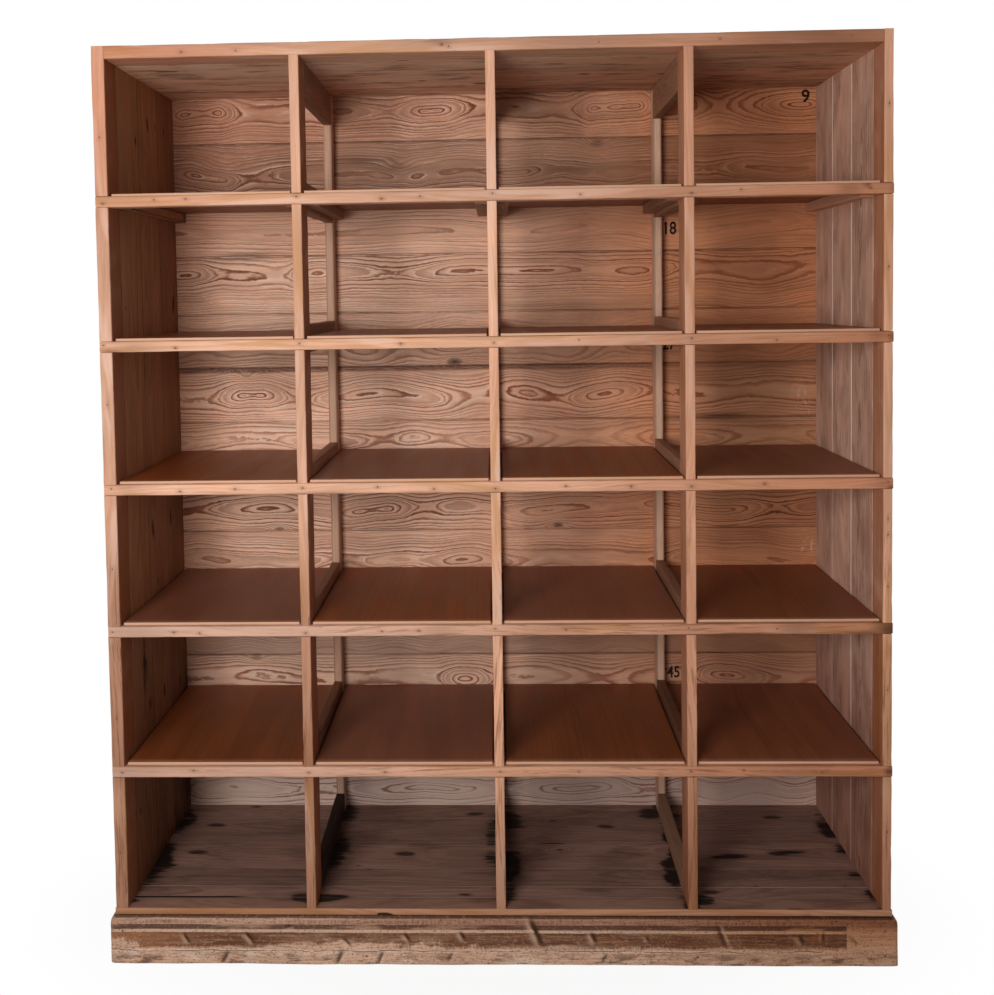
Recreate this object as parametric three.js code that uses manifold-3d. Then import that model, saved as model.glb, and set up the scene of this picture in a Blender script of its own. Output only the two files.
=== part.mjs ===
// Pigeonhole mail sorter in old pine: an open case of cells on a moulded plinth.
// Shelf rails run the whole width, let into notches in the stiles and in the thin front posts.
// Behind each front post an open divider frame stands on the floor: a back post with a head rail,
// a rail at each shelf and a sill. Ledgers along the divider rails and the side boards carry
// the back and sides of one thin shelf panel in each cell, and the shelf rail carries its front.
// Millimetres: +X to the right, +Y from the front to the wall behind, +Z up.
// The origin is on the ground, under the middle of the overall box.
import * as THREE from 'three';
import { mergeVertices } from 'three/addons/utils/BufferGeometryUtils.js';
import Module from 'manifold-3d';

// Cells
const COLUMNS = 4;
const SHELVES = 5;
const CELL_WIDTH = 407;
const CELL_DEPTH = 500;
const SHELF_PITCH = 320.5;
const LOWEST_CELL_HEIGHT = 302.5;
const HIGHEST_CELL_HEIGHT = 294;

// Front frame
const LEFT_STILE_WIDTH = 28;
const RIGHT_STILE_WIDTH = 19.5;
const STILE_DEPTH = 70;
const POST_THICKNESS = 21.5;
const POST_DEPTH = 78;
const SHELF_RAIL_HEIGHT = 24;
const SHELF_RAIL_DEPTH = 40;
const SHELF_RAIL_ARRIS = 3;
const SHELF_RAIL_RIGHT_END_PROUD = 1.5;
const TOP_RAIL_HEIGHT = 28;
const TOP_RAIL_DEPTH = 80;
const LAP_CLEARANCE = 0.3;

// Divider frames behind the front posts
const BACK_POST_DEPTH = 40;
const HEAD_RAIL_HEIGHT = 80;
const DIVIDER_RAIL_ABOVE_PANEL = 24;
const DIVIDER_RAIL_BELOW_PANEL = 40;
const SILL_HEIGHT = 50;

// Ledgers and shelf panels
const LEDGER_WIDTH = 28;
const LEDGER_HEIGHT = 24;
const LEDGER_HOUSING = 3;
const PANEL_THICKNESS = 6;
const PANEL_SETBACK = 12;
const PANEL_SIDE_CLEARANCE = 4.5;
const PANEL_BACK_CLEARANCE = 2;

// Boarded faces, their joints given as board widths from the top or from the front
const SIDE_BOARD_THICKNESS = 19;
const TOP_BOARD_THICKNESS = 22;
const BACK_BOARD_THICKNESS = 15;
const FLOOR_BOARD_THICKNESS = 14;
const FLOOR_EDGE_FLARE = 4;
const BACK_BOARD_WIDTHS = [148, 149, 149, 154, 142, 146, 147, 147, 170, 169, 142, 145];
const SIDE_BOARD_WIDTHS = [145, 145];
const TOP_BOARD_WIDTHS = [160, 160];
const FLOOR_BOARD_WIDTHS = [47, 46, 80, 125, 125];
const BOARD_GROOVE_WIDTH = 3;
const BOARD_GROOVE_DEPTH = 1.5;

// Plinth and the bearers behind it
const PLINTH_HEIGHT = 108;
const PLINTH_PROJECTION = 13;
const PLINTH_THICKNESS = 25;
const PLINTH_SLOPE_HEIGHT = 15;
const PLINTH_GROOVE_HEIGHT = 7;
const PLINTH_GROOVE_DEPTH = 3;
const PLINTH_FILLET_HEIGHT = 10;
const PLINTH_BAND_HEIGHT = 40;
const PLINTH_BAND_DEPTH = 1.5;
const MITRE_CLEARANCE = 0.3;
const BEARER_WIDTH = 45;

// Places worked out from the sizes above
const DIVIDERS = COLUMNS - 1;
const caseWidth = LEFT_STILE_WIDTH + RIGHT_STILE_WIDTH + COLUMNS * CELL_WIDTH + DIVIDERS * POST_THICKNESS;
const caseLeft = -caseWidth / 2;
const caseRight = caseWidth / 2;
const insideLeft = caseLeft + LEFT_STILE_WIDTH;
const insideRight = caseRight - RIGHT_STILE_WIDTH;
const outerBack = CELL_DEPTH + BACK_BOARD_THICKNESS;
const floorTop = PLINTH_HEIGHT + FLOOR_BOARD_THICKNESS;
const lowestRailTop = floorTop + LOWEST_CELL_HEIGHT + SHELF_RAIL_HEIGHT;
const highestRailTop = lowestRailTop + (SHELVES - 1) * SHELF_PITCH;
const ceiling = highestRailTop + PANEL_THICKNESS + HIGHEST_CELL_HEIGHT;
const caseTop = ceiling + TOP_RAIL_HEIGHT;
const backPostFront = CELL_DEPTH - BACK_POST_DEPTH;
const cellLeft = (column) => insideLeft + column * (CELL_WIDTH + POST_THICKNESS);
const dividerLeft = (divider) => cellLeft(divider) + CELL_WIDTH;
const railTop = (shelf) => highestRailTop - shelf * SHELF_PITCH;
const shelves = Array.from({ length: SHELVES }, (_, shelf) => shelf);
const dividers = Array.from({ length: DIVIDERS }, (_, divider) => divider);
const columns = Array.from({ length: COLUMNS }, (_, column) => column);

// Finishes
const CURVE_SEGMENTS = 5;
const finish = (color, roughness) => new THREE.MeshStandardMaterial({ color, roughness, metalness: 0 });
const framePine = finish(0xc08a66, 0.55);
const boardPine = finish(0x8a624b, 0.7);
const dividerPine = finish(0x7c5643, 0.65);
const panelVeneer = finish(0x7e4f38, 0.45);
const plinthPine = finish(0x8c6248, 0.75);

const wasm = await Module();
wasm.setup();

// Cyclic axis orders keep an extruded section right way out whichever way the piece runs
const AXIS_ORDER = {
  x: (u, v, run) => [run, u, v],
  y: (u, v, run) => [v, run, u],
  z: (u, v, run) => [u, v, run],
};

// A piece of one section along an axis. The ends may be numbers, or functions of the section
// point where an end is mitred or sloped. Sections are (Y, Z) along x, (Z, X) along y, (X, Y) along z.
function prism(axis, section, start, end) {
  const isShape = section instanceof THREE.Shape;
  const shape = isShape ? section : new THREE.Shape(section.map((point) => new THREE.Vector2(...point)));
  const geometry = new THREE.ExtrudeGeometry(shape, {
    depth: 1, bevelEnabled: false, curveSegments: CURVE_SEGMENTS,
  });
  const at = (limit, u, v) => (typeof limit === 'function' ? limit(u, v) : limit);
  const position = geometry.attributes.position;
  for (let i = 0; i < position.count; i += 1) {
    const u = position.getX(i);
    const v = position.getY(i);
    const run = position.getZ(i) === 0 ? at(start, u, v) : at(end, u, v);
    position.setXYZ(i, ...AXIS_ORDER[axis](u, v, run));
  }
  geometry.computeVertexNormals();
  return geometry;
}

function bar([x0, y0, z0], [x1, y1, z1]) {
  const geometry = new THREE.BoxGeometry(x1 - x0, y1 - y0, z1 - z0);
  return geometry.translate((x0 + x1) / 2, (y0 + y1) / 2, (z0 + z1) / 2);
}

// One closed body from overlapping pieces
function joined(geometries) {
  const solids = geometries.map((geometry) => {
    const bare = geometry.clone();
    bare.deleteAttribute('normal');
    bare.deleteAttribute('uv');
    const merged = mergeVertices(bare);
    return new wasm.Manifold(new wasm.Mesh({
      numProp: 3,
      vertProperties: new Float32Array(merged.attributes.position.array),
      triVerts: new Uint32Array(merged.index.array),
    }));
  });
  const mesh = solids.reduce((whole, solid) => whole.add(solid)).getMesh();
  const geometry = new THREE.BufferGeometry();
  geometry.setAttribute('position', new THREE.BufferAttribute(mesh.vertProperties, 3));
  geometry.setIndex(new THREE.BufferAttribute(mesh.triVerts, 1));
  geometry.computeVertexNormals();
  return geometry;
}

function addPiece(group, name, geometry, material) {
  const mesh = new THREE.Mesh(geometry, material);
  mesh.name = name;
  group.add(mesh);
}

// Board joints at running sums of the widths, kept where a whole groove still fits on the face
function jointsAlong(start, end, widths) {
  const direction = Math.sign(end - start);
  let place = start;
  const joints = widths.map((width) => {
    place += direction * width;
    return place;
  });
  return joints.filter((joint) => direction * (end - joint) > BOARD_GROOVE_WIDTH);
}

// Section of a boarded face: a flat slab with a small V groove at each joint, near and far side.
// Points are [along the slab, through the slab].
function boardedSection(start, end, near, far, joints) {
  const half = (Math.sign(end - start) * BOARD_GROOVE_WIDTH) / 2;
  const depth = Math.sign(far - near) * BOARD_GROOVE_DEPTH;
  const groove = (joint, face, bottom) => [[joint - half, face], [joint, bottom], [joint + half, face]];
  const nearSide = joints.flatMap((joint) => groove(joint, near, near + depth));
  const farSide = joints.flatMap((joint) => groove(joint, far, far - depth)).reverse();
  return [[start, near], ...nearSide, [end, near], [end, far], ...farSide, [start, far]];
}

const swapped = (points) => points.map(([a, b]) => [b, a]);

// Plinth section, as distance out from the case and height: a sloping top that rounds over,
// a groove, a fillet and a shallow sunk band over a plain foot.
function plinthSection() {
  const out = PLINTH_PROJECTION;
  const inside = out - PLINTH_THICKNESS;
  const slopeFoot = PLINTH_HEIGHT - PLINTH_SLOPE_HEIGHT;
  const grooveFoot = slopeFoot - PLINTH_GROOVE_HEIGHT;
  const bandTop = grooveFoot - PLINTH_FILLET_HEIGHT;
  const bandFoot = bandTop - PLINTH_BAND_HEIGHT;
  const section = new THREE.Shape();
  section.moveTo(inside, 0);
  section.lineTo(out, 0);
  section.lineTo(out, bandFoot);
  section.lineTo(out - PLINTH_BAND_DEPTH, bandFoot + PLINTH_BAND_DEPTH);
  section.lineTo(out - PLINTH_BAND_DEPTH, bandTop - PLINTH_BAND_DEPTH);
  section.lineTo(out, bandTop);
  section.lineTo(out, grooveFoot);
  section.lineTo(out - PLINTH_GROOVE_DEPTH, grooveFoot + PLINTH_GROOVE_HEIGHT / 2);
  section.lineTo(out, slopeFoot);
  section.quadraticCurveTo(out, slopeFoot + PLINTH_SLOPE_HEIGHT / 2, FLOOR_EDGE_FLARE, PLINTH_HEIGHT);
  section.lineTo(inside, PLINTH_HEIGHT);
  return section;
}

function reshaped(section, place) {
  const points = section.extractPoints(CURVE_SEGMENTS).shape;
  return points.map(({ x, y }) => place(x, y));
}

// The plinth is a front board and two side boards, mitred at the corners and open at the back
function makePlinth() {
  const group = new THREE.Group();
  const section = plinthSection();
  const frontSection = reshaped(section, (out, height) => [-out, height]);
  const frontLeft = (y) => caseLeft + y + MITRE_CLEARANCE;
  const frontRight = (y) => caseRight - y - MITRE_CLEARANCE;
  addPiece(group, 'plinth_front', prism('x', frontSection, frontLeft, frontRight), plinthPine);
  const leftSection = reshaped(section, (out, height) => [height, caseLeft - out]);
  const leftFront = (height, x) => x - caseLeft;
  addPiece(group, 'plinth_left', prism('y', leftSection, leftFront, outerBack), plinthPine);
  const rightSection = reshaped(section, (out, height) => [height, caseRight + out]);
  const rightFront = (height, x) => caseRight - x;
  addPiece(group, 'plinth_right', prism('y', rightSection, rightFront, outerBack), plinthPine);
  return group;
}

// Floor boards along the width. Their front and side edges flare out down to the plinth, and
// a bearer under each divider stands on the ground behind the plinth.
function makeFloor() {
  const joints = jointsAlong(0, CELL_DEPTH, FLOOR_BOARD_WIDTHS);
  const section = boardedSection(0, CELL_DEPTH, floorTop, PLINTH_HEIGHT, joints);
  section[section.length - 1] = [-FLOOR_EDGE_FLARE, PLINTH_HEIGHT];
  const flare = (z) => (FLOOR_EDGE_FLARE * (floorTop - z)) / FLOOR_BOARD_THICKNESS;
  const boards = prism('x', section, (y, z) => caseLeft - flare(z), (y, z) => caseRight + flare(z));
  const bearerFront = PLINTH_THICKNESS - PLINTH_PROJECTION + LAP_CLEARANCE;
  const bearers = dividers.map((divider) => {
    const middle = dividerLeft(divider) + POST_THICKNESS / 2;
    const low = [middle - BEARER_WIDTH / 2, bearerFront, 0];
    return joined([
      bar(low, [middle + BEARER_WIDTH / 2, outerBack, PLINTH_HEIGHT]),
      bar(low, [middle + BEARER_WIDTH / 2, CELL_DEPTH, PLINTH_HEIGHT + FLOOR_BOARD_THICKNESS / 2]),
    ]);
  });
  return joined([boards, ...bearers]);
}

// Side boards stand upright, flush with the inner edge of the stile, with a ledger under each panel
function makeSide(inner, outward) {
  const outer = inner + outward * SIDE_BOARD_THICKNESS;
  const joints = jointsAlong(STILE_DEPTH, CELL_DEPTH, SIDE_BOARD_WIDTHS);
  const section = swapped(boardedSection(STILE_DEPTH, CELL_DEPTH, inner, outer, joints));
  const ledgerEdges = [inner + outward * LEDGER_HOUSING, inner - outward * LEDGER_WIDTH];
  const ledgers = shelves.map((shelf) => bar(
    [Math.min(...ledgerEdges), STILE_DEPTH, railTop(shelf) - LEDGER_HEIGHT],
    [Math.max(...ledgerEdges), CELL_DEPTH, railTop(shelf)],
  ));
  return joined([prism('z', section, floorTop, caseTop), ...ledgers]);
}

function makeCase() {
  const group = new THREE.Group();
  addPiece(group, 'floor_boards', makeFloor(), boardPine);
  addPiece(group, 'side_boards_left', makeSide(insideLeft, -1), boardPine);
  addPiece(group, 'side_boards_right', makeSide(insideRight, 1), boardPine);
  const backJoints = jointsAlong(caseTop, PLINTH_HEIGHT, BACK_BOARD_WIDTHS);
  const backSection = swapped(boardedSection(caseTop, PLINTH_HEIGHT, CELL_DEPTH, outerBack, backJoints));
  const backLeft = insideLeft - SIDE_BOARD_THICKNESS;
  const backRight = insideRight + SIDE_BOARD_THICKNESS;
  addPiece(group, 'back_boards', prism('x', backSection, backLeft, backRight), boardPine);
  const topJoints = jointsAlong(TOP_RAIL_DEPTH, CELL_DEPTH, TOP_BOARD_WIDTHS);
  const topUpper = ceiling + TOP_BOARD_THICKNESS;
  const topSection = boardedSection(TOP_RAIL_DEPTH, CELL_DEPTH, ceiling, topUpper, topJoints);
  addPiece(group, 'top_boards', prism('x', topSection, insideLeft, insideRight), boardPine);
  return group;
}

// Outline of an upright seen from its side, with a notch in the front edge for each shelf rail
function notchedUpright(depth, top) {
  const notchDepth = SHELF_RAIL_DEPTH + LAP_CLEARANCE;
  const notches = shelves.flatMap((shelf) => {
    const upper = railTop(shelf) + LAP_CLEARANCE;
    const lower = railTop(shelf) - SHELF_RAIL_HEIGHT;
    return [[0, upper], [notchDepth, upper], [notchDepth, lower], [0, lower]];
  });
  return [[0, top], ...notches, [0, floorTop], [depth, floorTop], [depth, top]];
}

// Shelf rail section, flush with the front, with its upper front arris rounded
function shelfRailSection(shelf) {
  const top = railTop(shelf);
  const arris = SHELF_RAIL_ARRIS;
  const section = new THREE.Shape();
  section.moveTo(0, top - SHELF_RAIL_HEIGHT);
  section.lineTo(SHELF_RAIL_DEPTH, top - SHELF_RAIL_HEIGHT);
  section.lineTo(SHELF_RAIL_DEPTH, top);
  section.lineTo(arris, top);
  section.absarc(arris, top - arris, arris, Math.PI / 2, Math.PI, false);
  return section;
}

function makeFrontFrame() {
  const group = new THREE.Group();
  const stile = notchedUpright(STILE_DEPTH, caseTop);
  addPiece(group, 'stile_left', prism('x', stile, caseLeft, insideLeft), framePine);
  addPiece(group, 'stile_right', prism('x', stile, insideRight, caseRight), framePine);
  const topRail = bar([insideLeft, 0, ceiling], [insideRight, TOP_RAIL_DEPTH, caseTop]);
  addPiece(group, 'top_rail', topRail, framePine);
  const post = notchedUpright(POST_DEPTH, ceiling);
  dividers.forEach((divider) => {
    const left = dividerLeft(divider);
    addPiece(group, `front_post_${divider + 1}`, prism('x', post, left, left + POST_THICKNESS), framePine);
  });
  const railRight = caseRight + SHELF_RAIL_RIGHT_END_PROUD;
  shelves.forEach((shelf) => {
    const rail = prism('x', shelfRailSection(shelf), caseLeft, railRight);
    addPiece(group, `shelf_rail_${shelf + 1}`, rail, framePine);
  });
  return group;
}

// Cross section of a divider rail with a ledger on each side, their tops under the shelf panels
function ledgeredRailSection(left, shelf) {
  const right = left + POST_THICKNESS;
  const ledgerTop = railTop(shelf);
  const ledgerFoot = ledgerTop - LEDGER_HEIGHT;
  const panelTop = ledgerTop + PANEL_THICKNESS;
  const upper = panelTop + DIVIDER_RAIL_ABOVE_PANEL;
  const lower = panelTop - DIVIDER_RAIL_BELOW_PANEL;
  return [
    [lower, left], [lower, right],
    [ledgerFoot, right], [ledgerFoot, right + LEDGER_WIDTH],
    [ledgerTop, right + LEDGER_WIDTH], [ledgerTop, right],
    [upper, right], [upper, left],
    [ledgerTop, left], [ledgerTop, left - LEDGER_WIDTH],
    [ledgerFoot, left - LEDGER_WIDTH], [ledgerFoot, left],
  ];
}

// One open divider frame: back post with its head rail, a ledgered rail at each shelf, and a sill
function makeDivider(divider) {
  const group = new THREE.Group();
  const label = divider + 1;
  const left = dividerLeft(divider);
  const right = left + POST_THICKNESS;
  const headFoot = ceiling - HEAD_RAIL_HEIGHT;
  const backPost = [
    [backPostFront, floorTop], [CELL_DEPTH, floorTop], [CELL_DEPTH, ceiling],
    [POST_DEPTH, ceiling], [POST_DEPTH, headFoot], [backPostFront, headFoot],
  ];
  addPiece(group, `back_post_with_head_${label}`, prism('x', backPost, left, right), dividerPine);
  shelves.forEach((shelf) => {
    const rail = prism('y', ledgeredRailSection(left, shelf), POST_DEPTH, backPostFront);
    addPiece(group, `divider_rail_${label}_${shelf + 1}`, rail, dividerPine);
  });
  const sill = bar([left, POST_DEPTH, floorTop], [right, backPostFront, floorTop + SILL_HEIGHT]);
  addPiece(group, `divider_sill_${label}`, sill, dividerPine);
  return group;
}

// One thin panel in each cell, set back behind the rail's rounded arris
function makePanels() {
  const group = new THREE.Group();
  shelves.forEach((shelf) => columns.forEach((column) => {
    const left = cellLeft(column) + PANEL_SIDE_CLEARANCE;
    const right = cellLeft(column) + CELL_WIDTH - PANEL_SIDE_CLEARANCE;
    const back = CELL_DEPTH - PANEL_BACK_CLEARANCE;
    const panel = bar(
      [left, PANEL_SETBACK, railTop(shelf)],
      [right, back, railTop(shelf) + PANEL_THICKNESS],
    );
    addPiece(group, `shelf_panel_${shelf + 1}_${column + 1}`, panel, panelVeneer);
  }));
  return group;
}

const sorter = new THREE.Group();
sorter.add(makePlinth(), makeCase(), makeFrontFrame(), ...dividers.map(makeDivider), makePanels());
sorter.position.y = (PLINTH_PROJECTION - outerBack) / 2;

export default sorter;
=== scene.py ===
import math
import bpy
import numpy as np
from mathutils import Matrix, Vector


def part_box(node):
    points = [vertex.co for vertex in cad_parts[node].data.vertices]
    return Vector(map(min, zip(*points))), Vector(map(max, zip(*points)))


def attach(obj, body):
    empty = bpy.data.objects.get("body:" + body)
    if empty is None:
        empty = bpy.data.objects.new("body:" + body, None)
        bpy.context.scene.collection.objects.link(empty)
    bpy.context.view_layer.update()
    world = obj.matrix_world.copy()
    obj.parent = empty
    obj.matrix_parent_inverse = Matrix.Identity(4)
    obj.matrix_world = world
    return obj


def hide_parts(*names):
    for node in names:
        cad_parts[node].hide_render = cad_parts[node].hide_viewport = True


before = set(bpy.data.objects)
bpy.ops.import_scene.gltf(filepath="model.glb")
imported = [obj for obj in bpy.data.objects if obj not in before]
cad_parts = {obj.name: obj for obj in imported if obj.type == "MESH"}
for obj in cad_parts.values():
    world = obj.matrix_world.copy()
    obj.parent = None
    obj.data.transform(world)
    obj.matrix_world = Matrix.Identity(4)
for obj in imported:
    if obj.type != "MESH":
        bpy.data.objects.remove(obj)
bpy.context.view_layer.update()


# Plinth: a moulded pine board across the front and one down each side, mitred at the corners and
# nailed through. Years of mops and boots have dented it and scuffed its wax off in pale patches.

def ripple(points, seed, wavelength):
    """Smooth unevenness of about plus or minus one: a sum of sine waves in seeded random directions."""
    waves_summed = 7
    draw = np.random.default_rng(seed)
    waves = draw.normal(size=(waves_summed, 3)) * (2 * np.pi / wavelength) / math.sqrt(3)
    phases = draw.uniform(0, 2 * np.pi, waves_summed)
    return np.sin(points @ waves.T + phases).sum(-1) / math.sqrt(waves_summed)


def subdivided(corners, step):
    """A closed outline with points added so that no stretch is longer than the step."""
    corners = np.asarray(corners, float)
    ahead = np.roll(corners, -1, axis=0)
    counts = np.maximum(1, np.ceil(np.linalg.norm(ahead - corners, axis=1) / step)).astype(int)
    stretches = [a + (b - a) * np.arange(n)[:, None] / n for a, b, n in zip(corners, ahead, counts)]
    return np.concatenate(stretches)


def outward(outline):
    """Unit normals of a closed outline that runs anticlockwise: its chord directions turned right."""
    chords = np.roll(outline, -1, axis=0) - np.roll(outline, 1, axis=0)
    normals = np.stack([chords[:, 1], -chords[:, 0]], axis=1)
    return normals / np.maximum(np.linalg.norm(normals, axis=1, keepdims=True), 1e-9)


def spots(points, places):
    """Soft blots on a surface, none to one: for each (centre, reach, strength), where centre and reach
    are x, y, z triples, strength exp(-d^2) with d the distance in reaches. The strongest blot counts."""
    cover = np.zeros(points.shape[:-1])
    for centre, reach, strength in places:
        distance = ((points - np.asarray(centre)) / np.asarray(reach)) ** 2
        cover = np.maximum(cover, strength * np.exp(-distance.sum(-1)))
    return cover


def stand(name, data):
    """A new object in the scene, at the origin."""
    made = bpy.data.objects.new(name, data)
    bpy.context.scene.collection.objects.link(made)
    return made


# Edges that bend by fewer degrees than this are shown smooth
SMOOTH_BELOW = 38


class Timber:
    """Lengths of wood gathered into one mesh, with the wood's own coordinates kept at each point."""

    def __init__(self):
        self.lengths = []

    def add(self, points, quads, caps, grain, **shares):
        """Keeps one length: its points, its faces and end caps, and what is known at each point."""
        self.lengths.append((points, quads, caps, grain, shares))

    def piece(self, name, material, nodes):
        """Writes the mesh with its attributes, gives it its finish, and lets it stand for CAD nodes."""
        faces, start = [], 0
        for points, quads, caps, _, _ in self.lengths:
            faces += (quads + start).tolist()
            faces += [(cap + start).tolist() for cap in caps]
            start += len(points)
        points, _, _, grain, shares = zip(*self.lengths)
        mesh = bpy.data.meshes.new(name)
        mesh.from_pydata(np.concatenate(points).tolist(), [], faces)
        attribute = mesh.attributes.new("grain", "FLOAT_VECTOR", "POINT")
        attribute.data.foreach_set("vector", np.concatenate(grain).ravel())
        for label in shares[0]:
            values = np.concatenate([share[label] for share in shares])
            mesh.attributes.new(label, "FLOAT", "POINT").data.foreach_set("value", values)
        mesh.shade_smooth()
        mesh.set_sharp_from_angle(angle=math.radians(SMOOTH_BELOW))
        mesh.materials.append(material)
        mesh.validate()
        made = stand(name, mesh)
        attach(made, "root")
        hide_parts(*nodes)


def heart_line(seed, depth=0.034, roam=0.010, side=0.0, sway=0.010, eyes=(), waves=(0.5, 1.8)):
    """Where the tree's heart runs beside a length of wood, as a function of the place along it: its
    depth behind the face and its place across, both slow sums of sines about a middle value. An eye
    (place, reach, rise) adds rise exp(-((x - place) / reach)^2) to the depth, and closes the rings."""
    draw = np.random.default_rng(seed)
    wavelengths = draw.uniform(*waves, (2, 3))
    phases = draw.uniform(0, 2 * np.pi, (2, 3))

    def at(along):
        """Depth and place across of the heart at places along the length."""
        drift = np.sin(2 * np.pi * along[..., None, None] / wavelengths + phases).sum(-1) / math.sqrt(3)
        humps = sum(rise * np.exp(-((along - place) / reach) ** 2) for place, reach, rise in eyes)
        return depth + roam * drift[..., 0] + humps, side + sway * drift[..., 1]

    return at


# The two axes of a section that is carried along each axis, the lengths of the waves in uneven, swollen
# and chipped wood, and the share of a length at each end that extra stations keep clear of
SECTION_AXES = {0: (1, 2), 1: (2, 0), 2: (0, 1)}
UNEVEN_WAVE = 0.11
SWELL_WAVE = 0.9
CHIP_WAVE = 0.045
CHIP_FROM = 0.9
END_SHARE = 0.002


def carry(timber, run, section, start, end, step, seed, uneven=0.0002, edge=None, ease=0.0, chips=0.0,
          stations=(), shape=None, mark=None, heart=None, swell=0.0, tone=None, bold=1.0):
    """A section carried along axis run. At a share t of the way a point lies at start + t (end - start),
    where start and end may differ from point to point, as on a mitre. ease rounds both ends by
    drawing the section in along its normals, and chips dents the arrises. stations are extra places
    along the run, and shape(points) moves points, as for notches."""
    draw = np.random.default_rng(seed)
    count = len(section)
    start = np.broadcast_to(np.asarray(start, float), count)
    end = np.broadcast_to(np.asarray(end, float), count)
    length = float(np.mean(end - start))
    shares = np.linspace(0, 1, max(2, int(abs(length) / step) + 1))
    if len(stations):
        extra = (np.asarray(stations) - start.mean()) / length
        inner = extra[(extra > END_SHARE) & (extra < 1 - END_SHARE)]
        shares = np.unique(np.concatenate([shares, inner]))
    inset = np.zeros(len(shares))
    if ease > 0:
        turn = np.array([0.0, 0.4, 0.75])
        lead = ease * (1 - np.cos(turn * np.pi / 2)) / abs(length)
        eased = ease / abs(length)
        middle_shares = shares[(shares > eased) & (shares < 1 - eased)]
        shares = np.concatenate([lead, [eased], middle_shares, [1 - eased], 1 - lead[::-1]])
        draw_in = ease * (1 - np.sin(turn * np.pi / 2))
        inset = np.concatenate([draw_in, np.zeros(len(shares) - 2 * len(turn)), draw_in[::-1]])
    normals = outward(section)
    flat = section[None] - inset[:, None, None] * normals[None]
    along = start[None] + shares[:, None] * (end - start)[None]
    u_axis, v_axis = SECTION_AXES[run]
    points = np.zeros((len(shares), count, 3))
    points[..., run] = along
    points[..., u_axis] = flat[..., 0]
    points[..., v_axis] = flat[..., 1]
    if shape is not None:
        shape(points)
    edges = np.broadcast_to(np.zeros(count) if edge is None else edge, (len(shares), count)).copy()
    if ease > 0:
        rounding = len(turn) + 1
        edges[:rounding] = 1
        edges[-rounding:] = 1
    bumps = uneven * ripple(points, seed, UNEVEN_WAVE) + swell * ripple(points, seed + 1, SWELL_WAVE)
    bumps -= chips * edges * np.clip(ripple(points, seed + 2, CHIP_WAVE) - CHIP_FROM, 0, 1)
    points[..., u_axis] += bumps * normals[None, :, 0]
    points[..., v_axis] += bumps * normals[None, :, 1]
    points[..., 2] = np.maximum(points[..., 2], 0)
    ring = np.arange(count)
    low = (np.arange(len(shares) - 1) * count)[:, None]
    after = (ring + 1) % count
    corners = [low + ring, low + after, low + count + after, low + count + ring]
    quads = np.stack(corners, axis=-1).reshape(-1, 4)
    caps = [ring[::-1].copy(), ring + (len(shares) - 1) * count]
    middle = (section.min(0) + section.max(0)) / 2
    across, through = points[..., v_axis] - middle[1], points[..., u_axis] - middle[0]
    if np.ptp(section[:, 0]) > np.ptp(section[:, 1]):
        across, through = through, across
    depth, side = (heart or heart_line(seed, depth=draw.uniform(0.02, 0.05)))(points[..., run])
    grain = np.stack([points[..., run] + draw.uniform(0, 40), through + depth, across - side], axis=-1)
    total = len(shares) * count
    marks = np.zeros(total) if mark is None else mark(points).ravel()
    timber.add(points.reshape(-1, 3), quads, caps, grain.reshape(-1, 3), edge=edges.ravel(), mark=marks,
               tone=np.full(total, draw.uniform() if tone is None else tone), bold=np.full(total, bold))


def rounded(low, high, arris, step):
    """A rectangle with its four arrises rounded to arcs, anticlockwise, and how near each point is
    to an arris: one on the arc, fading over the first few millimetres of the flat."""
    low, high = np.asarray(low, float), np.asarray(high, float)
    centres = [(high[0] - arris, low[1] + arris), (high[0] - arris, high[1] - arris),
               (low[0] + arris, high[1] - arris), (low[0] + arris, low[1] + arris)]
    turns = np.array([-90.0, -60.0, -30.0, 0.0])
    arcs = []
    for quarter, centre in enumerate(centres):
        angle = np.radians(turns + 90 * quarter)
        arcs.append(np.asarray(centre) + arris * np.stack([np.cos(angle), np.sin(angle)], axis=1))
    fade_reach = 0.003
    outline, near = [], []
    for arc, following in zip(arcs, arcs[1:] + arcs[:1]):
        a, b = arc[-1], following[0]
        span = np.linalg.norm(b - a)
        margin = min(arris + fade_reach / 2, span / 3)
        inner = max(1, int(math.ceil((span - 2 * margin) / step)))
        between = margin + (span - 2 * margin) * np.arange(1, inner) / inner
        places = np.concatenate([[margin], between, [span - margin]])
        outline += [arc, a + (b - a) * (places / span)[:, None]]
        near += [np.ones(len(arc)), np.exp(-np.minimum(places, span - places) / fade_reach)]
    return np.concatenate(outline), np.concatenate(near)


def bar(timber, run, low, high, ends, arris, steps, seed, **looks):
    """A bar along axis run with rounded arrises. low and high are the corners of its section, ends is
    where it starts and stops, and steps spaces the points round the section and along the bar."""
    section, edge = rounded(low, high, arris, steps[0])
    carry(timber, run, section, *ends, steps[1], seed, edge=edge, **looks)


def linear(code):
    """A colour written as an sRGB hex code, as linear red, green, blue and alpha."""
    values = np.array([int(code[i:i + 2], 16) for i in (1, 3, 5)]) / 255
    light = np.where(values <= 0.04045, values / 12.92, ((values + 0.055) / 1.055) ** 2.4)
    return (*light, 1.0)


def wire(tree, kind, inputs=None, **settings):
    """Adds a shader node, fills its inputs from values or from other nodes' sockets, and returns it."""
    node = tree.nodes.new("ShaderNode" + kind)
    for key, value in settings.items():
        setattr(node, key, value)
    for key, value in (inputs or {}).items():
        if isinstance(value, bpy.types.NodeSocket):
            tree.links.new(value, node.inputs[key])
        else:
            node.inputs[key].default_value = value
    return node


def feed(value, socket):
    """Joins a socket's value to an input of its own node tree."""
    value.id_data.links.new(value, socket)


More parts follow.
